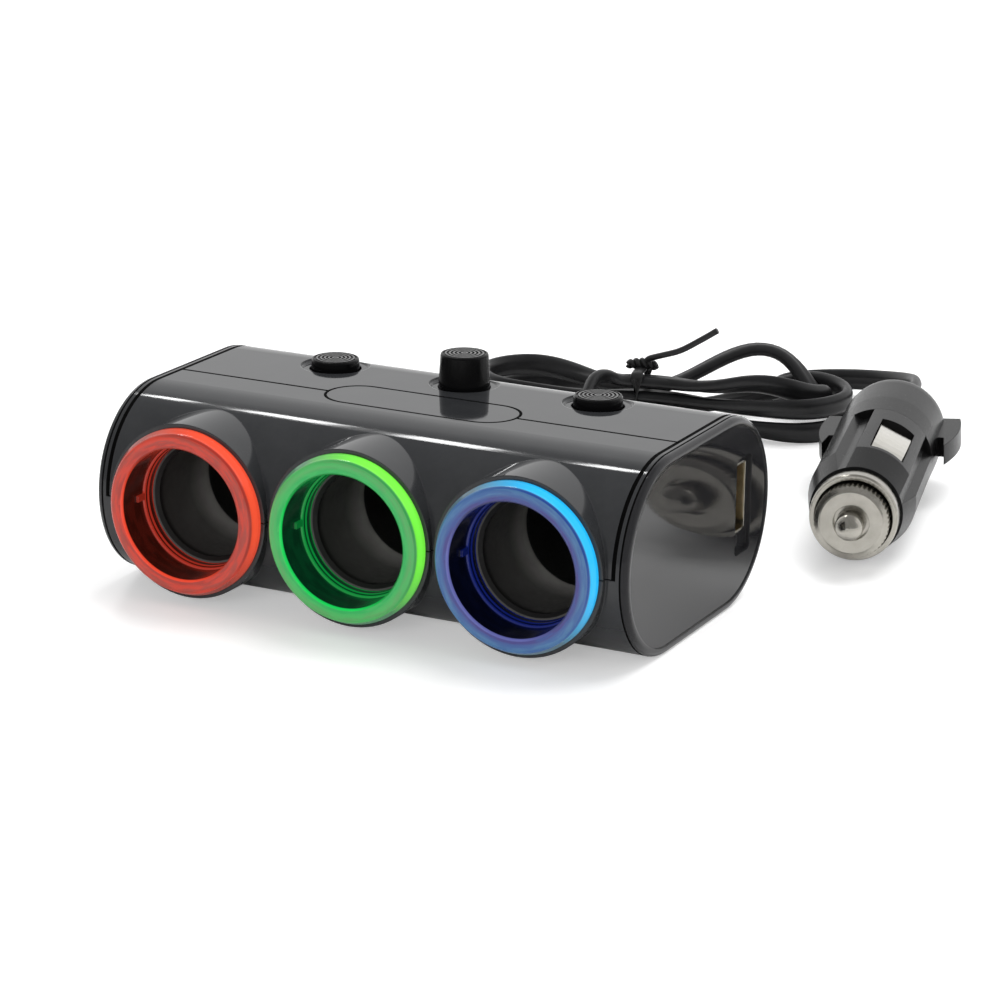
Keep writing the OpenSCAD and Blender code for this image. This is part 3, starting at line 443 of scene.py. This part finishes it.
# how far the roughness strays from its value, as lowest and highest share of it
strays = {"polished": (0.85, 1.2), "grained": (0.85, 1.15), "metal": (0.8, 1.25)}
# bumps: strength, and height in metres
bumps = {
    "polished": (0.02, 0.00002), "button": (0.03, 0.00002), "tongue": (0.1, 0.00002),
    "metal": (0.05, 0.00005), "ring": (0.1, 0.00008), "sleeve": (0.1, 0.00003),
}
# radius that edges are shaded with, in metres
softEdge = 0.0003
metalEdge = 0.0002


def material(name):
    m = bpy.data.materials.new(name)
    m.use_nodes = True
    tree = m.node_tree
    return m, tree, tree.nodes["Principled BSDF"], tree.links


def objectCoords(tree, shift=(0, 0, 0)):
    c = tree.nodes.new("ShaderNodeTexCoord")
    mapping = tree.nodes.new("ShaderNodeMapping")
    mapping.inputs["Location"].default_value = shift
    tree.links.new(c.outputs["Object"], mapping.inputs["Vector"])
    return mapping.outputs["Vector"]


def split(tree, vector):
    n = tree.nodes.new("ShaderNodeSeparateXYZ")
    tree.links.new(vector, n.inputs[0])
    return n.outputs


def noise(tree, vector, pattern):
    n = tree.nodes.new("ShaderNodeTexNoise")
    for socket, v in zip(("Scale", "Detail", "Roughness"), pattern):
        n.inputs[socket].default_value = v
    tree.links.new(vector, n.inputs["Vector"])
    return n.outputs["Fac"]


def remap(tree, value, a, b, c, d):
    r = tree.nodes.new("ShaderNodeMapRange")
    for socket, v in zip(("From Min", "From Max", "To Min", "To Max"), (a, b, c, d)):
        r.inputs[socket].default_value = v
    tree.links.new(value, r.inputs["Value"])
    return r.outputs["Result"]


def spread(tree, value, low, high, span=(0.3, 0.7)):
    # for noise, most of which lies within span
    return remap(tree, value, *span, low, high)


def rough(tree, value, roughness, stray):
    return spread(tree, value, roughness * stray[0], roughness * stray[1])


def maths(tree, how, a, b=None):
    n = tree.nodes.new("ShaderNodeMath")
    n.operation = how
    for socket, v in zip(n.inputs, (a, b)):
        if isinstance(v, (int, float)):
            socket.default_value = v
        elif v is not None:
            tree.links.new(v, socket)
    return n.outputs[0]


def product(tree, first, *others):
    for other in others:
        first = maths(tree, "MULTIPLY", first, other)
    return first


def awayFrom(tree, value, middle):
    return maths(tree, "ABSOLUTE", maths(tree, "SUBTRACT", value, middle))


def hypotenuse(tree, a, b):
    return maths(tree, "SQRT", maths(tree, "ADD", product(tree, a, a), product(tree, b, b)))


def bump(tree, height, strength, distance, rounding=0, under=None):
    b = tree.nodes.new("ShaderNodeBump")
    b.inputs["Strength"].default_value = strength
    b.inputs["Distance"].default_value = distance
    tree.links.new(height, b.inputs["Height"])
    if rounding:
        e = tree.nodes.new("ShaderNodeBevel")
        e.samples = 4
        e.inputs["Radius"].default_value = rounding
        under = e.outputs["Normal"]
    if under is not None:
        tree.links.new(under, b.inputs["Normal"])
    return b.outputs["Normal"]


def mixColour(tree, factor, a, b):
    m = tree.nodes.new("ShaderNodeMix")
    m.data_type = "RGBA"
    # sockets 0, 6 and 7 are its factor and its two colours, output 2 the colour
    for socket, v in zip((m.inputs[0], m.inputs[6], m.inputs[7]), (factor, a, b)):
        if isinstance(v, tuple):
            socket.default_value = (*v, 1)
        elif isinstance(v, (int, float)):
            socket.default_value = v
        else:
            tree.links.new(v, socket)
    return m.outputs[2]


# polished plastic: a faint haze in the colour, wiped roughness, very fine bumps
def polishedPlastic(name, colour, haze, roughness, gloss=0.43, panel=None):
    m, tree, p, links = material(name)
    v = objectCoords(tree)
    cloud = spread(tree, noise(tree, v, patterns["haze"]), 0, 1, spans["haze"])
    links.new(mixColour(tree, cloud, colour, haze), p.inputs["Base Color"])
    wiped = rough(tree, noise(tree, v, patterns["wipe"]), roughness, strays["polished"])
    links.new(wiped, p.inputs["Roughness"])
    p.inputs["IOR"].default_value = 1.5
    p.inputs["Specular IOR Level"].default_value = gloss
    normal = bump(tree, noise(tree, v, patterns["fine"]), *bumps["polished"], softEdge)
    if panel:
        normal = panelNormal(tree, v, panel, normal)
    links.new(normal, p.inputs["Normal"])
    return m


# end panel: faintly out of square, with a fine line where its border starts, in metres
endPanel = {
    "lean": (-0.075, 0.034),  # slope along y and z
    "middle": (0.00185, 0.0131, 0.0181),  # y of its middle, half the straight length, z of its middle
    "border": 0.0166, "line": 0.0001, "height": 0.00008,
}


def panelNormal(tree, v, k, normal):
    y, z = split(tree, v)[1:]
    middle, half, high = k["middle"]
    along = maths(tree, "MAXIMUM", maths(tree, "SUBTRACT", awayFrom(tree, y, middle), half), 0)
    reach = hypotenuse(tree, along, maths(tree, "SUBTRACT", z, high))
    border = remap(tree, reach, k["border"] - k["line"], k["border"] + k["line"], 0, k["height"])
    lean = maths(tree, "ADD", product(tree, y, k["lean"][0]), product(tree, z, k["lean"][1]))
    return bump(tree, maths(tree, "ADD", border, lean), 1, 1, under=normal)


# moulded plastic: blotches in the colour, and one grain for its roughness and its bumps
grainShape = (3, 0.6)  # detail and roughness of its noise
grainHeight = 0.00004  # in metres


def grainedPlastic(name, colour, lighter, roughness, grain=1800, depth=0.25, rounding=softEdge, gloss=0.5):
    m, tree, p, links = material(name)
    v = objectCoords(tree)
    g = noise(tree, v, (grain, *grainShape))
    blotch = spread(tree, noise(tree, v, patterns["blotch"]), 0, 1, spans["blotch"])
    links.new(mixColour(tree, blotch, colour, lighter), p.inputs["Base Color"])
    links.new(rough(tree, g, roughness, strays["grained"]), p.inputs["Roughness"])
    links.new(bump(tree, g, depth, grainHeight, rounding), p.inputs["Normal"])
    p.inputs["Specular IOR Level"].default_value = gloss
    return m


# push buttons: fine pale rings on a black top
buttonRings = {
    "pitch": 0.0275, "y": 0.01325,  # from one button to the next, and their place in depth
    "radius": 0.0041, "edge": 0.98, "rings": 5.5,
    "line": 0.7, "wide": 0.2,  # a line's place and half width, as shares of the way between rings
    "up": (0.9, 0.99),  # how far a face has to look up to have rings
    "black": (0.002, 0.002, 0.0022), "pale": (0.15, 0.15, 0.15),
    "worn": (0.7, 1),  # least and most of the pale colour that is left
    "rough": (0.18, 0.26), "gloss": 0.16,
}


def buttonFinish(name, place):
    k = buttonRings
    m, tree, p, links = material(name)
    v = objectCoords(tree, (-place * k["pitch"], -k["y"], 0))
    x, y = split(tree, v)[:2]
    radius = hypotenuse(tree, x, y)
    turn = maths(tree, "FRACT", product(tree, radius, k["rings"] / k["radius"]))
    ridge = remap(tree, awayFrom(tree, turn, k["line"]), k["wide"], k["wide"] / 2, 0, 1)
    facing = split(tree, tree.nodes.new("ShaderNodeNewGeometry").outputs["True Normal"])
    top = remap(tree, facing["Z"], *k["up"], 0, 1)
    inside = remap(tree, radius, k["radius"], k["radius"] * k["edge"], 0, 1)
    worn = spread(tree, noise(tree, v, patterns["worn"]), *k["worn"])
    shown = product(tree, ridge, top, inside, worn)
    links.new(mixColour(tree, shown, k["black"], k["pale"]), p.inputs["Base Color"])
    links.new(spread(tree, noise(tree, v, patterns["wipe"]), *k["rough"]), p.inputs["Roughness"])
    p.inputs["Specular IOR Level"].default_value = k["gloss"]
    links.new(bump(tree, noise(tree, v, patterns["fine"]), *bumps["button"]), p.inputs["Normal"])
    return m


# port's tongue: cream in front of the edge, tan behind it
tongue = {
    "edge": 0.0206, "ease": 0.0001,
    "cream": ((0.82, 0.80, 0.70), (0.92, 0.90, 0.82)), "tan": ((0.36, 0.27, 0.14), (0.50, 0.40, 0.24)),
    "rough": (0.3, 0.42),
}


def tongueFinish(name, k):
    m, tree, p, links = material(name)
    v = objectCoords(tree)
    n = noise(tree, v, patterns["speck"])
    behind = remap(tree, split(tree, v)["Y"], k["edge"], k["edge"] + k["ease"], 0, 1)
    links.new(mixColour(tree, behind, mixColour(tree, n, *k["cream"]), mixColour(tree, n, *k["tan"])),
              p.inputs["Base Color"])
    links.new(spread(tree, n, *k["rough"]), p.inputs["Roughness"])
    links.new(bump(tree, n, *bumps["tongue"]), p.inputs["Normal"])
    return m


def metal(name, colour, tint, roughness):
    m, tree, p, links = material(name)
    n = noise(tree, objectCoords(tree), patterns["worn"])
    links.new(mixColour(tree, spread(tree, n, 0, 1, spans["tint"]), colour, tint), p.inputs["Base Color"])
    p.inputs["Metallic"].default_value = 1
    links.new(rough(tree, n, roughness, strays["metal"]), p.inputs["Roughness"])
    links.new(bump(tree, n, *bumps["metal"], metalEdge), p.inputs["Normal"])
    return m


# light rings: clear tinted plastic with a painted glow, its colours emitted though its lamp is off; its rim
# painted brighter towards the upper right, where the light catches it
# places are in metres, from the ring's axis and from its front face; angles in radians
ringPlace = {"pitch": 0.0334, "z": 0.0181, "face": -0.03305}
ringShape = {
    "rim": (0.01485, 0.01498), "groove": 0.01472, "grooveWide": (0.0001, 0.0002), "halves": (0.0130, 0.0138),
    # the bore's radius; the depth of its front edge's painted highlight; each step's painted highlight, its
    # depth and half width; the key's painted highlight, within a radius and a depth
    "bore": (0.01262, 0.01250), "edge": 0.00035,
    "stepHighlights": ((0.0071, 0.00022), (0.0079, 0.00016), (0.0094, 0.00022)), "key": (0.0121, 0.0072),
    "paintedLightFrom": 0.6, "paintedLightSpan": (0.05, 0.75), "edgeHighlightFrom": -2.3, "edgeHighlightSpan": (-0.1, 0.6),
    # angles round the axis where painted light is brightest, on the rim at the upper right and on the bore's
    # edge at the lower left, and the spans over which it fades
    "streaks": (0.0022, 0.5),  # noise's length for a radian, and for a metre of depth
    "edgeEase": 1.6, "lineEase": 1.8,  # how much wider each fades out
    "edgeLeast": 0.3,  # share of the edge's painted highlight that is left at the top
}
# how strongly each colour is laid over the one under it
ringShares = {"streak": 0.6, "groove": 0.75, "glow": 0.35, "line": 0.85, "key": 0.5}
# dark is how far its own colour goes to black, so that most of what is seen is its painted glow
ringPlastic = {"dark": 0.6, "paintedGlow": 0.72, "clear": 0.15, "bend": 1.49, "rough": (0.1, 0.2)}


def clearRing(name, side, c):
    m, tree, p, links = material(name)
    s, share, k = ringShape, ringShares, ringPlastic
    v = objectCoords(tree, (-side * ringPlace["pitch"], -ringPlace["face"], -ringPlace["z"]))
    x, y, z = split(tree, v)
    radius = hypotenuse(tree, x, z)
    angle = maths(tree, "ARCTAN2", z, x)

    def towards(turn, span):
        return remap(tree, maths(tree, "COSINE", maths(tree, "SUBTRACT", angle, turn)), *span, 0, 1)

    # painted light: how far round the rim faces the upper right, where it is painted bright
    paintedLightSide = towards(s["paintedLightFrom"], s["paintedLightSpan"])
    # painted light: how far round the bore faces the lower left, where its edge is painted brightest
    low = towards(s["edgeHighlightFrom"], s["edgeHighlightSpan"])
    # streaks that run round the ring
    polar = tree.nodes.new("ShaderNodeCombineXYZ")
    links.new(product(tree, angle, s["streaks"][0]), polar.inputs[0])
    links.new(radius, polar.inputs[1])
    links.new(product(tree, y, s["streaks"][1]), polar.inputs[2])
    cloud = spread(tree, noise(tree, polar.outputs[0], patterns["flow"]), 0, 1, spans["flow"])
    # front: two halves of the face, the rim with its painted light and shade, and the painted shade of the
    # groove between them
    face = mixColour(tree, remap(tree, radius, *s["halves"], 0, 1), c["inner"], c["outer"])
    face = mixColour(tree, product(tree, cloud, share["streak"]), face, c["streak"])
    # painted light and shade on the rim: bright towards the upper right, dull elsewhere
    rim = mixColour(tree, paintedLightSide, c["dull"], c["paintedLitRim"])
    front = mixColour(tree, remap(tree, radius, *s["rim"], 0, 1), face, rim)
    # painted shade in the groove, on the bright side only
    gap = remap(tree, awayFrom(tree, radius, s["groove"]), *s["grooveWide"], 1, 0)
    front = mixColour(tree, product(tree, gap, paintedLightSide, share["groove"]), front, c["groove"])
    # bore: painted shade darkens its wall; painted highlights stand for the light caught by its front edge,
    # the steps and the small key
    # painted shade: the bore's wall dark, with lighter streaks
    wall = mixColour(tree, product(tree, cloud, share["glow"]), c["wall"], c["glow"])
    # painted highlight along the bore's front edge, strongest at the lower left
    mouthHighlight = remap(tree, y, s["edge"], s["edge"] * s["edgeEase"], 1, 0)
    wall = mixColour(tree, product(tree, mouthHighlight, remap(tree, low, 0, 1, s["edgeLeast"], 1)), wall, c["edge"])
    # painted highlights at the steps
    for depth, half in s["stepHighlights"]:
        near = remap(tree, awayFrom(tree, y, depth), half, half * s["lineEase"], 1, 0)
        wall = mixColour(tree, product(tree, near, share["line"]), wall, c["line"])
    # painted highlight on the small key
    keyHighlightMask = [maths(tree, "LESS_THAN", value, limit) for value, limit in zip((radius, y), s["key"])]
    wall = mixColour(tree, product(tree, *keyHighlightMask, share["key"]), wall, c["line"])
    whole = mixColour(tree, remap(tree, radius, *s["bore"], 0, 1), front, wall)
    # painted glow: the ring's colours, its painted light and shade among them, are emitted
    links.new(mixColour(tree, k["dark"], whole, (0, 0, 0)), p.inputs["Base Color"])
    links.new(whole, p.inputs["Emission Color"])
    p.inputs["Emission Strength"].default_value = k["paintedGlow"]
    p.inputs["Transmission Weight"].default_value = k["clear"]
    p.inputs["IOR"].default_value = k["bend"]
    links.new(spread(tree, noise(tree, v, patterns["cast"]), *k["rough"]), p.inputs["Roughness"])
    links.new(bump(tree, noise(tree, v, patterns["ripple"]), *bumps["ring"], softEdge), p.inputs["Normal"])
    return m


# painted light and shade in these colours: the rim's bright and dull colours, the dark of its groove and of
# the bore's wall, and the bright of the bore's front edge, steps and key
ringColours = {
    "red": {
        "paintedLitRim": (0.92, 0.085, 0.035), "dull": (0.25, 0.042, 0.030), "outer": (0.34, 0.052, 0.037),
        "inner": (0.33, 0.037, 0.026), "streak": (0.64, 0.045, 0.022), "groove": (0.28, 0.016, 0.009),
        "edge": (0.80, 0.060, 0.025), "wall": (0.022, 0.0035, 0.002), "glow": (0.075, 0.008, 0.005),
        "line": (0.40, 0.030, 0.016)},
    "green": {
        "paintedLitRim": (0.20, 0.95, 0.065), "dull": (0.075, 0.21, 0.11), "outer": (0.085, 0.33, 0.10),
        "inner": (0.022, 0.36, 0.085), "streak": (0.050, 0.42, 0.10), "groove": (0.03, 0.26, 0.06),
        "edge": (0.005, 0.60, 0.09), "wall": (0.0012, 0.020, 0.008), "glow": (0.002, 0.055, 0.018),
        "line": (0.004, 0.27, 0.045)},
    "blue": {
        "paintedLitRim": (0.018, 0.52, 1.0), "dull": (0.080, 0.145, 0.185), "outer": (0.062, 0.155, 0.31),
        "inner": (0.055, 0.052, 0.20), "streak": (0.040, 0.09, 0.27), "groove": (0.004, 0.035, 0.24),
        "edge": (0.11, 0.12, 0.36), "wall": (0.0007, 0.0009, 0.004), "glow": (0.0014, 0.0024, 0.012),
        "line": (0.005, 0.012, 0.13)},
}


# sockets' metal sleeves
sleeve = {
    # grey of the wall along its depth in mm, front to back, all painted light and shade: a bright line at the
    # front lip, a dark band behind it, lighter towards the back, then a dark line and a bright line at the
    # rear edge
    "paintedLightByDepth": [
        (-23.9, 0.10), (-23.78, 0.10), (-23.7, 0.010), (-22.6, 0.012), (-21.6, 0.06),
        (-13, 0.11), (-7.5, 0.34), (-6.3, 0.34), (-6.2, 0.05), (-6.0, 0.6)],
    "tint": (1, 0.98, 0.94), "stain": (0.01, 0.01, 0.01), "stained": (0, 0.25),
    "rough": (0.4, 0.52), "gloss": 0.3,
}


def dullSleeve(name, k):
    m, tree, p, links = material(name)
    v = objectCoords(tree)
    stops = k["paintedLightByDepth"]
    # painted light and shade along the sleeve's depth
    depthLightRamp = tree.nodes.new("ShaderNodeValToRGB")
    bar = depthLightRamp.color_ramp.elements
    while len(bar) < len(stops):
        bar.new(0.5)
    low, high = stops[0][0], stops[-1][0]
    for element, (place, grey) in zip(bar, stops):
        element.position = (place - low) / (high - low)
        element.color = (*(grey * t for t in k["tint"]), 1)
    links.new(remap(tree, split(tree, v)["Y"], low * mm, high * mm, 0, 1), depthLightRamp.inputs[0])
    stained = spread(tree, noise(tree, v, patterns["stain"]), *k["stained"])
    links.new(mixColour(tree, stained, depthLightRamp.outputs[0], k["stain"]), p.inputs["Base Color"])
    links.new(spread(tree, noise(tree, v, patterns["speck"]), *k["rough"]), p.inputs["Roughness"])
    p.inputs["Specular IOR Level"].default_value = k["gloss"]
    links.new(bump(tree, noise(tree, v, patterns["dull"]), *bumps["sleeve"]), p.inputs["Normal"])
    return m


# finishes by the record's slots, then those of nodes that have one of their own
finish = {
    "shell_gloss": polishedPlastic(
        "polishedCharcoal", (0.022, 0.023, 0.025), (0.029, 0.030, 0.032), roughness=0.06),
    "inner_black": grainedPlastic("innerBlack", (0.006, 0.006, 0.006), (0.012, 0.012, 0.012), roughness=0.5),
    "sleeve_steel": dullSleeve("dullSleeve", sleeve),
    "contact_brass": metal("contactBrass", (0.62, 0.44, 0.18), (0.75, 0.58, 0.30), roughness=0.25),
    "nickel": metal("brightNickel", (0.42, 0.405, 0.36), (0.54, 0.515, 0.465), roughness=0.2),
    "steel": metal("plainSteel", (0.55, 0.55, 0.54), (0.68, 0.68, 0.67), roughness=0.28),
    "board_green": grainedPlastic("boardGreen", (0.01, 0.09, 0.03), (0.02, 0.14, 0.05), roughness=0.4),
    "component_grey": grainedPlastic("componentGrey", (0.02, 0.02, 0.02), (0.04, 0.04, 0.04), roughness=0.5),
    "tongue_white": tongueFinish("tongueCream", tongue),
    "lamp_clear": grainedPlastic("lampClear", (0.8, 0.8, 0.7), (0.9, 0.9, 0.8), roughness=0.2),
    "cord_black": grainedPlastic(
        "cordBlack", (0.008, 0.008, 0.0085), (0.014, 0.014, 0.015), roughness=0.38,
        grain=1500, depth=0.1, rounding=0, gloss=0.35),
    "tie_black": grainedPlastic(
        "tieBlack", (0.008, 0.008, 0.0085), (0.015, 0.015, 0.015), roughness=0.35,
        grain=1500, depth=0.1, rounding=0),
    "plug_black": grainedPlastic(
        "plugBlack", (0.004, 0.004, 0.0042), (0.007, 0.007, 0.0073), roughness=0.24, depth=0.07, gloss=0.12),
    "fuse_glass": grainedPlastic("fuseGlass", (0.6, 0.62, 0.62), (0.7, 0.72, 0.72), roughness=0.1),
    "ring_red_clear": clearRing("ringRedPaintedLight", -1, ringColours["red"]),
    "ring_green_clear": clearRing("ringGreenPaintedLight", 0, ringColours["green"]),
    "ring_blue_clear": clearRing("ringBluePaintedLight", 1, ringColours["blue"]),
}
ownFinish = {
    "left_button": buttonFinish("button0Black", -1),
    "middle_button": buttonFinish("button1Black", 0),
    "right_button": buttonFinish("button2Black", 1),
    "plug_side_contact": metal("contactNickel", (0.76, 0.74, 0.68), (0.86, 0.84, 0.79), roughness=0.22),
    "right_end_cap": polishedPlastic(
        "polishedPanel", (0.016, 0.016, 0.0175), (0.021, 0.021, 0.0225), roughness=0.045,
        gloss=0.18, panel=endPanel),
}
# painted shade for the seams
seamShadeFinish = grainedPlastic(
    "seamShadeBlack", (0.0015, 0.0015, 0.0015), (0.003, 0.003, 0.003), roughness=0.7, gloss=0.02)

slotOf = {s["node"]: s["material_slot"] for s in frame["record"]["subparts"]}
for name, ob in nodes.items():
    look = ownFinish.get(name) or finish[slotOf[name]]
    for s in ob.material_slots:
        s.material = look
    if not ob.material_slots:
        ob.data.materials.append(look)
flatCord.data.materials.append(finish["cord_black"])
wireTie.data.materials.append(finish["tie_black"])
seamShadeStrip.data.materials.append(seamShadeFinish)
print("materials set")


# floor, backdrop and lamps
studio = {
    "floor": 0.82, "floorReach": 3.0, "floorGloss": 0.3, "floorRough": (0.24, 0.3),
    "floorLift": 0.37,  # what the floor adds for the camera, so that it reads white
    "farFloor": (0.35, 1.0),  # how far away the lift starts to grow, and where it is whole
    "backdrop": 0.9, "ceiling": 0.16, "front": 0.36,  # brightness behind the part, over it and in front
    "behind": (-0.15, 0.3), "under": (0.66, 0.82), "over": (0.5, 0.85),  # y, z and z between which they blend
}


def addFloor(k):
    bm = bmesh.new()
    bmesh.ops.create_grid(bm, x_segments=2, y_segments=2, size=k["floorReach"])
    floor = fromBmesh(bm, "floor", False)
    m, tree, p, links = material("paleFloor")
    p.inputs["Base Color"].default_value = (k["floor"], k["floor"], k["floor"], 1)
    p.inputs["Specular IOR Level"].default_value = k["floorGloss"]
    v = objectCoords(tree)
    links.new(spread(tree, noise(tree, v, patterns["floor"]), *k["floorRough"]), p.inputs["Roughness"])
    path = tree.nodes.new("ShaderNodeLightPath")
    seen = maths(tree, "MAXIMUM", path.outputs["Is Camera Ray"], path.outputs["Is Transmission Ray"])
    away = tree.nodes.new("ShaderNodeVectorMath")
    away.operation = "LENGTH"
    links.new(v, away.inputs[0])
    lift = remap(tree, away.outputs["Value"], *k["farFloor"], k["floorLift"], 1)
    p.inputs["Emission Color"].default_value = (1, 1, 1, 1)
    links.new(product(tree, seen, lift), p.inputs["Emission Strength"])
    floor.data.materials.append(m)


def addWorld(k):
    world = bpy.data.worlds.new("studio")
    bpy.context.scene.world = world
    world.use_nodes = True
    tree = world.node_tree
    back = tree.nodes["Background"]
    back.inputs["Color"].default_value = (1, 1, 1, 1)
    y, z = split(tree, tree.nodes.new("ShaderNodeTexCoord").outputs["Generated"])[1:]
    behind = remap(tree, y, *k["behind"], 0, 1)
    under = remap(tree, z, *k["under"], 1, 0)
    wall = remap(tree, product(tree, behind, under), 0, 1, k["front"], k["backdrop"])
    top = remap(tree, z, *k["over"], 0, k["ceiling"])
    blend = tree.nodes.new("ShaderNodeMix")
    blend.data_type = "FLOAT"
    # plain white where the camera looks straight at it; sockets 2 and 3 are the two strengths
    tree.links.new(tree.nodes.new("ShaderNodeLightPath").outputs["Is Camera Ray"], blend.inputs[0])
    tree.links.new(maths(tree, "MAXIMUM", wall, top), blend.inputs[2])
    blend.inputs[3].default_value = 1.0
    tree.links.new(blend.outputs[0], back.inputs["Strength"])


softLamps = {
    "overheadLamp": {"place": (0.2, 0.5, 1.35), "target": (0, 0.02, 0), "size": (1.0, 0.8), "power": 16},
    "rightLamp": {"place": (1.3, -0.2, 0.8), "target": (0, 0.03, 0.02), "size": (0.8, 0.8), "power": 3},
    "frontLamp": {"place": (0.15, -1.3, 0.45), "target": (0, 0, 0.02), "size": (0.8, 0.5), "power": 9},
}
# a row of short strips high on the left: the broken bright line along the front of the top
stripLamps = {
    "spans": ((-0.885, -0.841), (-0.805, -0.721), (-0.684, -0.606), (-0.553, -0.500)),  # ends of each along x
    "through": (-0.80, 0.575), "slope": -0.28,  # line that the row follows, from above
    "high": 1.22, "gap": 0.012, "wide": 0.085,
    "power": 4.6,  # for each metre
}


def addLamp(name, place, target, size, power, shine=False):
    data = bpy.data.lights.new(name, "AREA")
    data.shape = "RECTANGLE"
    data.size, data.size_y = size
    data.energy = power
    ob = link(bpy.data.objects.new(name, data))
    ob.location = place
    ob.rotation_euler = (Vector(target) - Vector(place)).to_track_quat("-Z", "Y").to_euler()
    ob.visible_glossy = shine


def addStrips(k):
    atX, atY = k["through"]
    for n, (start, end) in enumerate(k["spans"]):
        middle, length = (start + end) / 2, end - start
        y = atY + k["slope"] * (middle - atX)
        addLamp("stripLamp%d" % n, (middle, y, k["high"]), (middle + k["slope"] * y, 0, 0),
                (length - k["gap"], k["wide"]), k["power"] * length, shine=True)


addFloor(studio)
addWorld(studio)
addStrips(stripLamps)
for name, k in softLamps.items():
    addLamp(name, **k)
print("stage and lamps set")

bpy.context.scene.view_settings.view_transform = "Standard"
bpy.context.view_layer.update()
